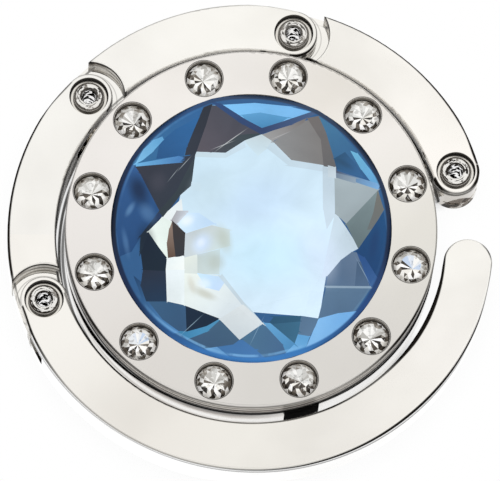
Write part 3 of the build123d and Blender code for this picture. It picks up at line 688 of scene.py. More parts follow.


# The centre crystal: its own cut, with a painted reflection tint for each facet that shows through the crown
crystal = {
    "ground": "35608f",
    "overlap": 0.05,
    "gain": 1.04,
    "polish": 0.05,
    "grainScale": 260.0,
    "ringInside": 12.5,
    "ringSoft": 0.1,
    # painted reflections round the crown's rim
    "rimReflectionTints": [
        (-180, "1c2638"), (-150, "1d2f52"), (-128, "2a5488"), (-100, "3f7fc4"), (-70, "3c7abb"), (-40, "2c4f86"),
        (-10, "22304c"), (30, "27364f"), (60, "33435c"), (95, "34445e"), (118, "30507c"), (150, "1f2f4c"),
        (180, "1c2638"),
    ],
    "glint": "7fb8e8",
    "glintReach": 12.33,
    "glintWidth": 0.11,
    "glintScale": 500.0,
    "glintTints": [
        (-180, "000000"), (-150, "101010"), (-130, "b0b0b0"), (-100, "e0e0e0"), (-60, "a0a0a0"), (-30, "404040"),
        (0, "101010"), (110, "000000"), (140, "909090"), (165, "404040"), (180, "000000"),
    ],
    # facets that show through, painted as reflections, from the ground up: first tint, last tint and corners
    "facets": {
        "star": ("cbe4f3", "d9efff", [(-5.1, 6.8), (-6.5, 2.7), (-7.8, -3.4), (-7.9, -4.5), (-7.8, -7.3),
            (-3.8, -8.4), (6.1, -8.9), (7.7, 0.8), (7.7, 5.0), (6.6, 5.5), (2.0, 7.7), (-0.6, 7.9)]),
        "starTop": ("c3d2d8", "cfe6f2", [(1.0, 8.4), (-0.6, 7.8), (0.6, 6.4), (2.0, 7.6), (1.7, 8.2)]),
        "starRight": ("c6d8e4", "daecff", [(9.8, -2.3), (7.7, 0.8), (6.4, -5.3), (6.9, -5.1), (9.2, -2.7)]),
        "starFoot": ("d2e2ea", "c8dce8", [(-1.2, -10.9), (0.9, -9.6), (-0.9, -7.7), (-3.0, -9.2)]),
        "starLeft": ("eef6f4", "e6eef2", [(-9.5, -0.8), (-7.8, -3.5), (-6.2, -3.5), (-6.2, -1.3), (-6.5, 2.1),
            (-8.2, 0.5)]),
        "starBand": ("c4d8e2", "cadeec", [(-5.1, 6.8), (-2.4, 6.7), (-0.6, 7.8), (-0.6, 7.2), (-2.4, 6.2),
            (-5.2, 6.3)]),
        "starBandTop": ("c2d6e2", "cadeec", [(1.9, 7.7), (3.7, 6.0), (6.6, 5.5), (6.6, 4.9), (3.5, 5.4),
            (1.5, 7.1)]),
        "starBandRight": ("c0d2de", "cadcea", [(7.7, 5.0), (7.7, 0.8), (6.9, -0.6), (6.6, 1.4), (6.6, 5.3)]),
        "skyTop": ("7fc4f7", "7ab8ec", [(1.0, 9.1), (2.7, 9.8), (5.6, 11.1), (3.4, 11.7), (0.4, 12.0), (-2.7, 11.7),
            (-0.4, 10.0)]),
        "skyTopDeep": ("4585b4", "60a4d6", [(1.1, 9.1), (2.4, 9.6), (3.4, 10.4), (0.9, 10.9), (-0.8, 10.6),
            (-0.1, 9.6)]),
        "greyTop": ("5a565f", "4b4d58", [(-5.1, 6.8), (-2.4, 6.7), (-0.6, 7.9), (0.9, 8.5), (-0.7, 9.7),
            (-2.7, 11.6), (-3.8, 11.7), (-4.4, 9.4)]),
        "greyTopFoot": ("3a4a50", "4a4d55", [(0.9, 8.5), (-1.2, 8.4), (-3.5, 6.8), (-2.4, 6.7), (-0.6, 7.9)]),
        "stripTop": ("2f3540", "343a46", [(-4.4, 11.5), (-5.2, 9.5), (-6.0, 7.4), (-6.3, 6.1), (-5.4, 6.0),
            (-5.1, 6.8), (-4.2, 9.6), (-3.6, 11.8)]),
        "taupe": ("8b8d8f", "7f7d7c", [(2.1, 7.7), (3.7, 6.0), (6.7, 5.5), (6.5, 8.7), (5.7, 10.3), (4.8, 10.0)]),
        "taupeTop": ("9a9a9b", "767170", [(2.0, 7.8), (4.8, 9.9), (5.2, 10.5), (3.6, 9.6), (1.1, 8.4)]),
        "taupeEdge": ("716d6c", "6a6a6c", [(5.3, 10.4), (6.5, 8.2), (6.7, 5.4), (7.8, 5.3), (7.0, 9.1),
            (6.4, 10.7)]),
        "edgeTopLeft": ("34466c", "33507e", [(1.0, 9.1), (-0.4, 10.0), (-2.7, 11.8), (-3.6, 12.1), (-1.0, 9.8),
            (0.9, 8.5)]),
        "edgeTopRight": ("34466c", "4a6288", [(1.0, 9.1), (0.9, 8.5), (3.6, 9.6), (6.1, 11.0), (5.9, 11.2),
            (2.7, 9.8)]),
        "blueRight": ("45789c", "305c8e", [(6.4, 10.6), (7.0, 9.1), (7.7, 6.3), (7.9, 5.3), (11.9, 4.2),
            (10.6, 6.5), (9.3, 8.0), (7.8, 9.7)]),
        "blueRightDeep": ("2f5678", "38689a", [(7.7, 6.3), (7.9, 5.3), (10.3, 4.7), (9.6, 6.0), (8.7, 7.1)]),
        "glintRight": ("6fb8dc", "63a2d4", [(9.3, 7.3), (10.1, 5.7), (11.1, 4.3), (11.9, 4.2), (11.0, 5.6),
            (9.9, 7.1)]),
        "lineRight": ("4f5568", "7db0e0", [(7.76, 5.0), (7.76, 4.6), (11.7, 3.6), (11.9, 4.1)]),
        "mist": ("a6b4ba", "99a6ac", [(7.7, 4.5), (7.7, 0.8), (8.7, -0.1), (11.7, 3.5)]),
        "mistTop": ("6f8094", "90a2b2", [(7.7, 4.8), (7.7, 4.4), (9.6, 4.0), (9.6, 4.5)]),
        "moss": ("7f9094", "66777b", [(11.7, 3.4), (8.7, -0.2), (9.8, -2.3), (11.1, -0.4), (12.1, 1.8)]),
        "mossBrown": ("74746f", "6d7476", [(11.7, 3.3), (11.3, 1.3), (10.7, -0.4), (11.1, -0.3), (12.2, 1.7)]),
        "royal": ("24507e", "204474", [(12.2, 1.4), (11.1, -0.4), (9.9, -2.3), (9.5, -2.8), (10.9, -5.9),
            (11.5, -5.4), (12.4, -3.2), (12.5, -0.8)]),
        "royalLow": ("3a6094", "2f568f", [(11.0, -5.9), (11.6, -5.0), (10.4, -3.2), (9.5, -2.8)]),
        "slateUpper": ("56708e", "657b96", [(7.0, -5.1), (6.8, -6.1), (10.8, -5.8), (9.6, -2.8), (9.2, -2.8),
            (8.2, -3.6)]),
        "slateStripe": ("4c6480", "516a88", [(9.7, -3.6), (9.5, -5.8), (10.7, -5.7), (10.0, -3.7)]),
        "slateLower": ("5d7a96", "557290", [(6.8, -6.3), (6.1, -8.9), (7.9, -8.4), (9.4, -8.1), (10.9, -5.9)]),
        "slateLine": ("8fa6ba", "8ba3b8", [(6.8, -6.1), (6.8, -6.2), (10.9, -5.9), (10.9, -5.8)]),
        "skyRight": ("84bcee", "74b0e8", [(6.1, -9.0), (4.9, -11.7), (7.0, -10.6), (8.5, -9.3), (9.5, -8.1),
            (7.9, -8.4)]),
        "slateFoot": ("55728f", "5e7d9c", [(4.4, -8.9), (4.0, -10.5), (5.2, -10.6), (5.7, -9.7), (6.0, -9.0)]),
        "skyFoot": ("62a4d8", "74b2e4", [(4.0, -10.5), (3.7, -11.4), (3.1, -12.1), (4.8, -11.7), (5.2, -10.6)]),
        "tealFoot": ("335c78", "3c6c8a", [(1.5, -9.6), (3.8, -11.3), (4.2, -10.2), (4.4, -8.9), (2.0, -9.0)]),
        "tealDeep": ("2c5470", "325c78", [(1.5, -9.6), (4.3, -9.3), (4.4, -8.9), (2.0, -9.0)]),
        "rayFoot": ("64a4d4", "4f8cbc", [(1.1, -9.6), (2.4, -11.3), (3.1, -12.0), (3.8, -11.3), (1.6, -9.6)]),
        "steelFoot": ("4e7694", "46688e", [(-1.1, -10.9), (1.1, -12.6), (3.0, -12.1), (2.7, -11.4), (0.9, -9.6)]),
        "blueFoot": ("4276ac", "4878b0", [(-4.4, -11.6), (-3.1, -12.4), (-1.3, -12.8), (1.2, -12.6), (0.2, -11.8),
            (-1.1, -10.9), (-1.8, -11.3)]),
        "blueFootRay": ("6ea6d8", "558cc4", [(-4.4, -11.6), (-3.1, -12.4), (-1.9, -12.6), (-3.5, -11.4)]),
        "slateLeft": ("466682", "3e5a78", [(-3.0, -9.2), (-4.2, -10.1), (-5.9, -10.8), (-4.4, -11.6), (-1.8, -11.3),
            (-1.2, -10.9)]),
        "steelLeft": ("3a5f82", "3a5a7c", [(-9.8, -7.1), (-8.5, -8.8), (-7.0, -10.0), (-6.0, -10.2), (-6.1, -7.8),
            (-7.8, -7.3)]),
        "inkLeft": ("1c2c40", "182a3e", [(-6.1, -7.8), (-6.0, -10.1), (-4.2, -9.9), (-3.0, -9.2), (-3.7, -8.5),
            (-5.0, -8.1)]),
        "tealLeft": ("3f84b0", "4f93bd", [(-6.8, -10.1), (-6.0, -10.8), (-4.2, -10.2), (-3.0, -9.2), (-4.2, -9.8),
            (-6.0, -10.2)]),
        "rimLeft": ("224268", "5088c0", [(-10.8, -4.9), (-9.4, -8.5), (-7.4, -10.2), (-6.8, -10.1), (-8.3, -8.9),
            (-9.5, -7.3), (-9.9, -5.7)]),
        "navyLeft": ("355f95", "264a78", [(-11.3, 6.0), (-12.1, 3.4), (-12.4, -0.2), (-12.1, -2.8), (-11.1, -2.5),
            (-10.2, -1.1), (-8.5, 1.0), (-10.6, 5.7)]),
        "coalLow": ("2a3242", "243a54", [(-10.0, -4.4), (-10.2, -5.7), (-9.7, -7.1), (-7.8, -7.3), (-7.9, -4.5)]),
        "paintedDark": ("1c2838", "1c2a38", [(-9.5, -0.8), (-10.2, -2.6), (-10.0, -4.3), (-7.9, -4.6), (-7.8, -3.5),
            (-8.5, -2.4)]),
        "inkUpper": ("22303e", "2b4066", [(-9.5, -0.8), (-8.2, 0.6), (-8.5, 1.0), (-10.2, -1.1), (-10.3, -2.8)]),
        "coalTop": ("393c48", "343c48", [(-10.6, 5.7), (-10.2, 5.0), (-8.4, 0.9), (-7.6, 1.2), (-6.6, 2.6),
            (-5.6, 3.5), (-5.2, 6.7), (-6.3, 5.8)]),
        "coalTopFoot": ("3a444c", "353f46", [(-5.4, 5.9), (-6.9, 2.9), (-8.5, 1.0), (-8.2, 0.5), (-6.6, 2.6),
            (-5.6, 3.5)]),
        "blueLeft": ("386f9c", "34669a", [(-11.2, 6.3), (-10.7, 6.0), (-6.2, 6.4), (-6.0, 7.4), (-5.2, 9.5),
            (-4.4, 11.6), (-7.0, 10.8), (-9.6, 8.7)]),
        "blueLeftDeep": ("2a5788", "3068a0", [(-8.7, 6.4), (-6.3, 6.5), (-5.2, 9.5), (-4.8, 10.5), (-6.9, 9.4),
            (-8.4, 8.1)]),
        "glintLeft": ("7fc0ea", "62a4d4", [(-10.6, 6.1), (-10.0, 6.4), (-9.2, 7.1), (-8.1, 8.4), (-8.2, 8.7),
            (-9.0, 8.4), (-9.9, 7.5)]),
        "bandLeft": ("6fb4e4", "4c7fb8", [(-10.6, 6.0), (-10.6, 5.8), (-6.7, 5.8), (-6.3, 6.2), (-6.7, 6.4)]),
        "mint": ("eef8f4", "e2eee8", [(-9.5, -0.8), (-8.5, -2.4), (-7.8, -3.4), (-7.7, -1.0), (-7.4, -0.1),
            (-8.2, 0.4)]),
        "cream": ("dde5de", "d4dedc", [(-6.2, -3.4), (-6.2, -5.0), (-5.0, -5.0), (-5.0, -3.2)]),
        "fog": ("bcc8c6", "d0dfe0", [(-5.0, -3.2), (-5.0, -5.0), (-3.1, -5.0), (-3.0, -2.7)]),
        "ash": ("c2cdd4", "d0dbd6", [(-6.1, -1.2), (-6.2, -3.4), (-2.1, -2.3), (-2.1, -0.8), (-3.7, -0.4)]),
        "lilac": ("a9a9ae", "c6ced8", [(-7.4, 0.1), (-6.8, -0.5), (-6.3, -0.2), (-5.9, 1.0), (-6.9, 1.0)]),
        "glowFirst": ("d4ecff", "c0dcf8", [(-6.8, -0.2), (-6.2, -1.1), (-3.5, -0.2), (-4.9, 0.8), (-5.9, 0.8)]),
        "brown": ("8f7d72", "5c4a40", [(-7.3, 0.0), (-7.6, -0.8), (-7.8, -2.1), (-7.7, -3.4), (-6.8, -3.3),
            (-6.9, -0.4)]),
        "brownDark": ("3f3a3a", "33363c", [(-7.3, 0.0), (-7.2, -1.6), (-7.0, -3.4), (-6.3, -3.2), (-6.2, -1.1)]),
        "columnTop": ("e4eef0", "f0f6f4", [(-7.8, -3.5), (-7.9, -4.5), (-6.3, -4.6), (-6.3, -3.4)]),
        "column": ("e6f0f4", "eaf4f6", [(-7.9, -4.6), (-7.8, -7.3), (-6.2, -7.8), (-6.3, -4.7)]),
        "pearl": ("e8f0ea", "dde8ee", [(-6.2, -5.0), (-6.2, -7.8), (-3.0, -9.1), (-0.9, -8.0), (-3.0, -5.2)]),
        "glowThird": ("c9e8ff", "c4dcf8", [(-5.0, -5.0), (-4.2, -6.3), (-3.1, -6.6), (-2.6, -5.8), (-3.1, -5.3)]),
        "diamondBack": ("c6d6e0", "d6e2ea", [(-0.9, -8.0), (0.9, -9.6), (0.2, -9.2), (-2.8, -5.1), (-3.0, -5.3)]),
        "starCorner": ("c4d3dc", "c8d6e0", [(7.1, 5.45), (7.75, 5.35), (7.75, 4.3), (7.1, 4.4)]),
        "starNotch": ("cfe6f4", "cfe6f4", [(-5.5, 3.8), (-4.7, 3.7), (-4.7, 3.0), (-5.6, 3.1)]),
        "diamond": ("dfe7ea", "d3dee4", [(-0.9, -8.0), (-3.0, -9.2), (-1.2, -10.9), (0.9, -9.6)]),
    },
    # soft patches of light or shade: middle, half length and half width, turn in degrees, strength, tint
    "clouds": [
        ((0.5, 1.8), (4.6, 3.2), 20, 0.6, "c9e2fc"),
        ((1.0, -3.4), (5.2, 3.6), 0, 0.85, "cdeeff"),
        ((6.0, -3.0), (1.8, 3.2), 15, 0.5, "d8e8ff"),
        ((-3.4, 3.0), (2.4, 2.2), 30, 0.5, "c4dbe6"),
        ((-6.0, 0.1), (0.8, 0.6), 30, 0.9, "eaf6ff"),
        ((-4.6, -2.1), (1.25, 0.95), 60, 0.85, "cfe4ff"),
        ((-4.7, -2.0), (0.55, 0.45), 60, 0.7, "e6f2ff"),
        ((-2.6, -1.7), (0.8, 1.6), 15, 0.6, "bcc5b8"),
        ((-3.4, -3.9), (1.0, 1.1), 0, 0.6, "b3bbb0"),
        ((-4.4, -5.9), (0.7, 0.55), -20, 0.9, "def0ff"),
        ((-4.4, -6.9), (1.3, 0.45), -25, 0.6, "b9b9a8"),
        ((-5.6, -6.0), (0.4, 1.0), 15, 0.5, "cfccbe"),
        ((-10.4, 3.4), (1.0, 2.0), 20, 0.85, "1c2c48"),
        ((-11.2, 1.6), (0.8, 0.35), 60, 0.5, "6f9cc8"),
        ((-11.6, -1.6), (0.3, 1.6), 10, 0.4, "5f8cbc"),
        ((-9.7, -1.6), (0.9, 1.8), 10, 0.6, "1a2636"),
        ((-9.6, 1.0), (0.7, 1.2), 30, 0.5, "5c86b4"),
        ((11.3, -1.6), (0.5, 2.0), -10, 0.6, "23406c"),
        ((8.6, 5.9), (1.1, 0.4), -30, 0.5, "2c4a66"),
        ((-8.6, 4.0), (0.9, 1.2), 0, 0.35, "50505c"),
        # fine scratches
        ((-1.9, 7.9), (1.9, 0.05), 38, 0.7, "e6e8ea"),
        ((-2.6, 7.4), (1.2, 0.04), 22, 0.6, "d6dade"),
        ((-6.2, 5.6), (1.0, 0.04), 48, 0.6, "c9d3da"),
        ((-7.2, 4.6), (0.9, 0.035), 52, 0.5, "c9d3da"),
        ((2.7, 8.4), (1.2, 0.04), 28, 0.5, "c9ccd0"),
        ((10.2, -4.4), (1.4, 0.04), -60, 0.6, "a9c4dc"),
        ((-5.6, -9.6), (1.4, 0.04), 40, 0.6, "a9c9de"),
        ((0.4, -10.2), (1.5, 0.04), 62, 0.5, "9cc0dc"),
    ],
}


def facetNear(face, low, high):
    margin = crystal["overlap"] * 3
    return all(
        max(vert.co[axis] for vert in face.verts) > low[axis] - margin
        and min(vert.co[axis] for vert in face.verts) < high[axis] + margin
        for axis in (0, 1)
    )


def paintFacet(bm, crown, index, corners, facetLayer):  # cuts the crown along the facet's edges
    corners = [Vector((*corner, 0)) for corner in corners]
    for triangle in geometry.tessellate_polygon([corners]):
        piece = [corners[place] for place in triangle]
        side = (piece[1] - piece[0]).cross(piece[2] - piece[0]).z
        if abs(side) < 1e-6:
            continue
        if side < 0:
            piece.reverse()
        low, high = [[pick(corner[axis] for corner in piece) for axis in (0, 1)] for pick in (min, max)]
        faces = [face for face in bm.faces if face[crown] and facetNear(face, low, high)]
        for start, end in zip(piece, piece[1:] + piece[:1]):
            outward = (end - start).cross(Vector((0, 0, 1))).normalized()
            base = start + outward * crystal["overlap"]
            geom = set(faces)
            for face in faces:
                geom.update(face.edges)
                geom.update(face.verts)
            cut = bmesh.ops.bisect_plane(bm, geom=list(geom), dist=1e-4, plane_co=base, plane_no=outward)
            found = [item for item in cut["geom"] if isinstance(item, bmesh.types.BMFace)]
            faces = [face for face in found if (face.calc_center_median() - base).dot(outward) < 0]
        for face in faces:
            face[facetLayer] = index


def makeCrystal():
    bm = bmesh.new()
    bm.from_mesh(nodes["centre_crystal"].data)
    bmesh.ops.scale(bm, vec=(1 / millimetre,) * 3, verts=bm.verts)
    bmesh.ops.remove_doubles(bm, verts=bm.verts, dist=1e-3)
    bmesh.ops.dissolve_limit(bm, angle_limit=math.radians(0.5), verts=bm.verts, edges=bm.edges)
    crown = bm.faces.layers.int.new("crown")
    facetLayer = bm.faces.layers.int.new("facet")
    tintLayer = bm.loops.layers.float_color.new("facetTint")
    bm.normal_update()
    for face in bm.faces:
        face[crown] = int(face.normal.z > 0.3)
        face[facetLayer] = -1
    facets = list(crystal["facets"].values())
    for index, facet in enumerate(facets):
        paintFacet(bm, crown, index, facet[2], facetLayer)
    facets.append((crystal["ground"], crystal["ground"], [(0, 0), (1, 0)]))  # the last one, at -1
    for face in bm.faces:
        firstTint, lastTint, corners = facets[face[facetLayer]]
        first, last = Vector(tint(firstTint)), Vector(tint(lastTint))
        start, end = Vector(corners[0]), Vector(corners[len(corners) // 2])
        for loop in face.loops:
            share = (loop.vert.co.xy - start).dot(end - start) / (end - start).length_squared
            loop[tintLayer] = (*first.lerp(last, min(max(share, 0), 1)), 1)
    print("crystal faces:", len(bm.faces))
    return bm


def makeCrystalMaterial():
    material, shader = newMaterial("blueCrystal")
    spot = Spot(shader)
    # the painted reflection tint of each facet, painted patches of light and shade, painted reflections round the rim
    # and a painted glint
    colour = shader.node("ShaderNodeAttribute", {"attribute_name": "facetTint"})
    for (middleX, middleY), (halfLength, halfWidth), angle, strength, code in crystal["clouds"]:
        ahead = polar(1.0, angle)
        along = ((spot.x - middleX) * ahead.x + (spot.y - middleY) * ahead.y) / halfLength
        across = ((spot.y - middleY) * ahead.x - (spot.x - middleX) * ahead.y) / halfWidth
        colour = shader.mix((1 - lengthOf(along, across).fade(0.15, 1.25)) * strength, colour, code)
    inside, soft = crystal["ringInside"], crystal["ringSoft"]
    ringTint = ringRamp(spot.turn, crystal["rimReflectionTints"])
    colour = shader.mix(spot.reach.fade(inside - soft, inside + soft), colour, ringTint)
    streaks = shader.noise(shader.place(), crystal["glintScale"], 4.0, 1.2)
    width = crystal["glintWidth"]
    glint = 1 - abs(spot.reach - crystal["glintReach"]).fade(width * 0.4, width * 1.4)
    glint = ringRamp(spot.turn, crystal["glintTints"]) * (glint * streaks.fade(0.3, 0.55))
    colour = shader.mix(glint, colour, crystal["glint"])
    grain = shader.noise(shader.place(), crystal["grainScale"], 5.0, 0.4)
    shades = {"Value": grain, "From Min": 0.3, "From Max": 0.7, "To Min": 0.93, "To Max": 1.07}
    shade = shader.node("ShaderNodeMapRange", None, shades) * crystal["gain"]
    level = shader.vector(shade, shade, shade)
    colour = shader.node("ShaderNodeVectorMath", {"operation": "MULTIPLY"}, {0: colour, 1: level})
    sockets = {"Base Color": colour, "Roughness": crystal["polish"], "Specular IOR Level": 0.1}
    finishMaterial(shader, sockets)
    return material


finishPiece("centreCrystal", makeCrystal(), makeCrystalMaterial(), "disc", "blue_crystal", "centre_crystal")
print("crystal done")


# Clear stones: small brilliants whose facets throw back white or dark
stones = {
    "count": 12,
    "radius": 1.6,
    "culetRadius": 0.3,
    "culetHeight": 6.1,
    "girdleLow": 7.1,
    "girdleHigh": 7.3,
    "breakRadius": 1.32,
    "breakHeight": 7.6,
    "tableRadius": 0.95,
    "tableHeight": 7.85,
    "corners": 18,
    "heart": -0.32,  # how far below the middle the spikes meet
    "lowerHalf": (188, 352),  # where the white and dark spikes lie, in degrees
    "sparkle": 0.16,  # light that the foil throws back
    "sparkleScale": 1500.0,
    "stray": 0.12,  # share of the lower facets that break the pattern of spikes
    "skyShare": 0.35,  # share of the stones that reflect some blue sky
    "seed": 11,
    "side": "5b544c",
    "white": ["fbfaf7", "f3f1ec", "ffffff", "e6e3dc"],
    "middle": ["a7a29a", "8d877f", "b9b5ae", "777068"],
    "dark": ["4d4740", "3a352f", "5a544c", "26221e", "6b645c"],
    "upperTable": ["d5d5d2", "e2e1de", "c3c2be", "b0aea9", "ecebe8"],
    "skyTable": ["bccbe0", "d3dae4", "dcdfe2", "ecebe8"],
}


def growRing(bm, edges, factor, height, turn):
    grown = bmesh.ops.extrude_edge_only(bm, edges=edges)["geom"]
    verts = [item for item in grown if isinstance(item, bmesh.types.BMVert)]
    for vert in verts:
        vert.co = Matrix.Rotation(turn, 3, "Z") @ Vector((vert.co.x * factor, vert.co.y * factor, 0))
        vert.co.z = height
    edges = [item for item in grown if isinstance(item, bmesh.types.BMEdge)]
    return [edge for edge in edges if all(vert in verts for vert in edge.verts)]


def cutStone(chance):  # the stone's mesh about the origin, its crown's facets and its table's
    halfStep = math.pi / stones["corners"]
    bm = bmesh.new()
    bmesh.ops.create_circle(bm, cap_ends=True, segments=stones["corners"], radius=stones["culetRadius"])
    bmesh.ops.translate(bm, vec=(0, 0, stones["culetHeight"]), verts=bm.verts)
    ring = list(bm.edges)
    rings = [
        (stones["radius"] / stones["culetRadius"], stones["girdleLow"], 0.0),
        (1.0, stones["girdleHigh"], 0.0),
        (stones["breakRadius"] / stones["radius"], stones["breakHeight"], halfStep),
        (stones["tableRadius"] / stones["breakRadius"], stones["tableHeight"], halfStep),
    ]
    crown = []
    for factor, height, turn in rings:
        known = set(bm.faces)
        ring = growRing(bm, ring, factor, height, turn)
        if turn:
            crown += [face for face in bm.faces if face not in known]
    table = bmesh.ops.edgeloop_fill(bm, edges=ring)["faces"]
    crown = bmesh.ops.triangulate(bm, faces=crown)["faces"]
    poked = bmesh.ops.poke(bm, faces=table)
    poked["verts"][0].co += Vector((chance.uniform(-0.15, 0.15), stones["heart"] + chance.uniform(-0.1, 0.1), 0))
    bmesh.ops.recalc_face_normals(bm, faces=bm.faces)
    return bm, crown, list(poked["faces"])


def facetPlace(face):
    return [round(value, 3) for value in face.calc_center_median()]


def facetTones(face, inTable, turnOff, sky, chance):  # the tones that a facet of the crown or table may have
    middle = face.calc_center_median()
    angle = (math.degrees(math.atan2(middle.y, middle.x)) + turnOff) % 360
    spans = [vert.co.xy.length for vert in face.verts]
    pointsIn = sum(span > (max(spans) + min(spans)) / 2 for span in spans) == 2
    if stones["lowerHalf"][0] < angle < stones["lowerHalf"][1]:
        bright = int(angle * stones["corners"] / 360) % 2 == 0
        return stones["white"] if bright != (chance.random() < stones["stray"]) else stones["dark"]
    if inTable:
        return stones["skyTable"] if sky else stones["upperTable"]
    if middle.xy.length < stones["breakRadius"] * 0.93:
        return stones["upperTable"] + stones["middle"][:2]
    if pointsIn:
        return stones["white"] + stones["middle"] + stones["dark"][:1]
    return stones["middle"] + stones["dark"][:2] + stones["upperTable"][:2]


def makeStone(index):
    chance = random.Random(stones["seed"] + index)
    bm, crown, table = cutStone(chance)
    sky = chance.random() < stones["skyShare"]
    turnOff = chance.uniform(-25, 25)
    tintLayer = bm.loops.layers.float_color.new("facetTint")
    for face in bm.faces:
        for loop in face.loops:
            loop[tintLayer] = asColour(stones["side"])
    # bmesh gives the facets in a different order each run, so they are sorted by place
    for face in sorted(crown + table, key=facetPlace):
        code = chance.choice(facetTones(face, face in table, turnOff, sky, chance))
        for loop in face.loops:
            loop[tintLayer] = asColour(code)
    angle = layout["firstStone"] + index * 360 / stones["count"]
    bmesh.ops.translate(bm, vec=polar(layout["stoneCircle"], angle), verts=bm.verts)
    return bm


def makeStoneMaterial():
    material, shader = newMaterial("clearStone")
    colour = shader.node("ShaderNodeAttribute", {"attribute_name": "facetTint"})
    sparkle = shader.noise(shader.place(), stones["sparkleScale"], 2.0, 1.5)
    colour = shader.mix(sparkle.fade(0.6, 0.64) * 0.4, colour, "faf9f6")
    colour = shader.mix(sparkle.fade(0.4, 0.36) * 0.35, colour, "3b3631")
    sockets = {"Base Color": colour, "Roughness": 0.08, "Specular IOR Level": 0.3}
    finishMaterial(shader, sockets | {"Emission Color": colour, "Emission Strength": stones["sparkle"]})
    return material


stoneMaterial = makeStoneMaterial()
for stoneIndex in range(stones["count"]):
    number = f"{stoneIndex + 1:02d}"
    stone = makeStone(stoneIndex)
    finishPiece(f"clearStone_{number}", stone, stoneMaterial, "disc", "clear_stone", f"stone_{number}")
print("stones done")


# Floor, studio and camera
studio = {
    "floorSide": 4000.0,
    "floorColour": (0.14, 0.14, 0.14, 1),
    "floorGlow": (0.93, 0.93, 0.93, 1),
    "floorDrop": 0.03,  # how far under the pad it lies
    "floorFar": (0.5, 0.5, 0.5, 1),  # how metal sees it away from the object
    "farRadii": (25.0, 46.0),
    "contactReach": 3.0,  # how far the soft shade beside a piece goes
    "contactShade": 0.035,
    "shadeRadii": (18.0, 19.0),  # the floor lies in shade inside the ring
    "shadeTones": [
        (-180, "f2f1ef"), (-160, "f2f1ef"), (-152, "5a5855"), (-120, "0c0b0a"), (-60, "5a5855"), (-35, "d0cecb"),
        (-25, "ffffff"), (12, "ffffff"), (24, "2a2826"), (60, "141312"), (118, "2a2826"), (128, "8f8a84"),
        (150, "e2e0dc"), (180, "f2f1ef"),
    ],
    # painted dark lines of shade on the floor in the gap between ring and disc
    "gapLines": [
        [
            (-180, 17.68, 0.06, 1.0), (-160, 17.75, 0.06, 1.0), (-150, 17.8, 0.05, 0.0), (133, 17.85, 0.05, 0.0),
            (146, 17.85, 0.05, 0.5), (156, 17.8, 0.06, 0.95), (180, 17.68, 0.06, 1.0),
        ],
        [
            (-180, 17.36, 0.06, 0.85), (-158, 17.4, 0.06, 0.85), (-150, 17.4, 0.05, 0.0), (140, 17.4, 0.05, 0.0),
            (156, 17.4, 0.05, 0.7), (180, 17.36, 0.06, 0.85),
        ],
    ],
    "domeDark": (0.03, 0.027, 0.024, 1),
    "horizonTop": 6.0,  # degrees of height of the dark rim of the tent
    "horizonSoft": 5.0,
    "underTone": 0.4,  # how dark the world is below the floor, which only an opened arm reflects
    "openings": [  # azimuth, half width, low and high edge in degrees, soft edge
        (52.0, 22.0, 0.0, 9.0, 5.0),
        (-27.0, 20.0, 0.0, 9.0, 5.0),
        (168.0, 34.0, 0.0, 9.0, 5.0),
    ],
    "cameraSpot": (-96.0, 73.0, 9.0),  # azimuth, height, half width of the dark spot round the camera
    "spotSoft": 4.0,
    "spotTone": 0.42,
}


def lightPath(shader, name):
    return shader.node("ShaderNodeLightPath", None, None, name)


def buildWorld():
    world = bpy.data.worlds.new("studioTent")
    bpy.context.scene.world = world
    world.use_nodes = True
    shader = Shader(world.node_tree)
    direction = shader.node("ShaderNodeTexCoord", None, None, 0)
    x, y, z = shader.split(direction)
    height = z.join("ARCSINE") * (180 / math.pi)
    azimuth = y.join("ARCTAN2", x) * (180 / math.pi)
    top, topSoft = studio["horizonTop"], studio["horizonSoft"]
    dark = 1 - height.fade(top - topSoft, top + topSoft)
    for middle, halfWidth, low, high, soft in studio["openings"]:
        turned = (azimuth - middle + 180).join("FLOORED_MODULO", 360.0) - 180
        inside = 1 - abs(turned).fade(halfWidth - soft, halfWidth + soft)
        dark = dark.most(inside * (1 - height.fade(high - soft, high + soft)) * height.fade(low - soft, low))
    under = height.fade(0.0, -6.0)
    dark = dark * (1 - under) + under * studio["underTone"]
    spotAzimuth, spotHeight, spotRadius = studio["cameraSpot"]
    rise = math.radians(spotHeight)
    aim = polar(math.cos(rise), spotAzimuth, math.sin(rise))
    nearness = shader.node("ShaderNodeVectorMath", {"operation": "DOT_PRODUCT"}, {0: direction, 1: tuple(aim)}, 1)
    rim = [math.cos(math.radians(spotRadius + side * studio["spotSoft"])) for side in (1, -1)]
    dark = dark.most(nearness.fade(*rim) * (1 - studio["spotTone"]))
    tent = shader.mix(dark, "ffffff", studio["domeDark"])
    plain = lightPath(shader, "Is Camera Ray").most(lightPath(shader, "Is Diffuse Ray"))
    sockets = {"Color": shader.mix(plain, tent, "ffffff"), "Strength": 1.0}
    background = shader.node("ShaderNodeBackground", None, sockets)
    shader.node("ShaderNodeOutputWorld", None, {"Surface": background})


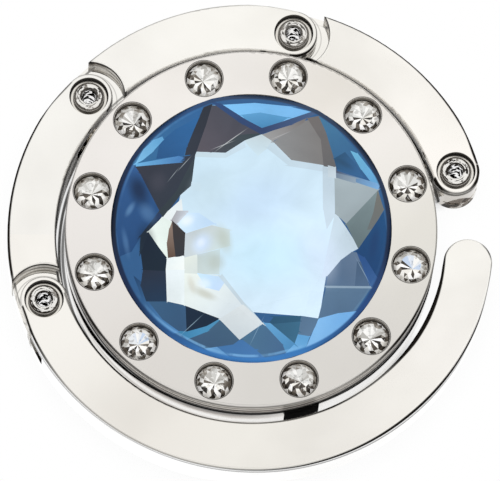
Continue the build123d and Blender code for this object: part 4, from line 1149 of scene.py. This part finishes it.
def makeFloorMaterial():
    material, shader = newMaterial("paleFloor")
    spot = Spot(shader)
    # painted shade inside the ring, and painted lines of shade in the gap
    lit = spot.reach.fade(*studio["shadeRadii"]).most(ringRamp(spot.turn, studio["shadeTones"]))
    for rows in studio["gapLines"]:
        lit = lit * (1 - runningLine(rows, spot.turn, spot.reach))
    # the camera sees the white tent through the floor, except where a piece stands close and shades it
    free = shader.node("ShaderNodeAmbientOcclusion", None, {"Distance": studio["contactReach"] * millimetre}, 1)
    cover = ((1 - lit) * free.fade(0.7, 0.3)).most(free.fade(1.0, 0.3) * studio["contactShade"])
    cover = cover.most(1 - lightPath(shader, "Is Camera Ray"))
    glow = shader.mix(spot.reach.fade(*studio["farRadii"]), studio["floorGlow"], studio["floorFar"])
    mirrored = lightPath(shader, "Is Glossy Ray").most(lightPath(shader, "Is Transmission Ray"))
    sockets = {"Base Color": studio["floorColour"], "Roughness": 1.0, "Specular IOR Level": 0.0}
    sockets |= {"Emission Color": shader.mix(mirrored, (0, 0, 0, 1), glow), "Emission Strength": 1.0}
    solid = shader.node("ShaderNodeBsdfPrincipled", None, sockets)
    clear = shader.node("ShaderNodeBsdfTransparent")
    surface = shader.node("ShaderNodeMixShader", None, {0: cover, 1: clear, 2: solid})
    shader.node("ShaderNodeOutputMaterial", None, {"Surface": surface})
    return material


def buildFloor():
    bm = bmesh.new()
    bmesh.ops.create_grid(bm, x_segments=1, y_segments=1, size=studio["floorSide"] * millimetre / 2)
    bmesh.ops.translate(bm, vec=(0, 0, -studio["floorDrop"] * millimetre), verts=bm.verts)
    addObject("studioFloor", bm, makeFloorMaterial())


photoCamera = {
    "distance": 700.0,
    "height": 73.018,  # degrees above the floor
    "azimuth": -5.968,
    "roll": -5.746,
    "focalPixels": 7506.8,
    "centreX": 248.88,  # where the optical axis meets the photo, in its own pixels
    "centreY": 252.76,
    "photoWidth": 500,
    "photoHeight": 481,
    "sensor": 36.0,
}


def buildCamera():
    data = bpy.data.cameras.new("photoCamera")
    width = photoCamera["photoWidth"]
    data.sensor_fit = "HORIZONTAL"
    data.sensor_width = photoCamera["sensor"]
    data.lens = photoCamera["focalPixels"] / width * photoCamera["sensor"]
    data.shift_x = (width / 2 - photoCamera["centreX"]) / width
    data.shift_y = (photoCamera["centreY"] - photoCamera["photoHeight"] / 2) / width
    data.clip_start = 0.01
    camera = bpy.data.objects.new("photoCamera", data)
    bpy.context.scene.collection.objects.link(camera)
    turn = math.radians(photoCamera["azimuth"])
    tilt = math.radians(90 - photoCamera["height"])
    eye = Vector((math.sin(turn) * math.sin(tilt), -math.cos(turn) * math.sin(tilt), math.cos(tilt)))
    place = Matrix.Translation(eye * photoCamera["distance"] * millimetre)
    aim = Matrix.Rotation(turn, 4, "Z") @ Matrix.Rotation(tilt, 4, "X")
    roll = Matrix.Rotation(-math.radians(photoCamera["roll"]), 4, "Z")
    camera.matrix_world = place @ aim @ roll
    bpy.context.scene.camera = camera


buildWorld()
buildFloor()
buildCamera()
bpy.context.scene.view_settings.view_transform = "Standard"
print("studio done")
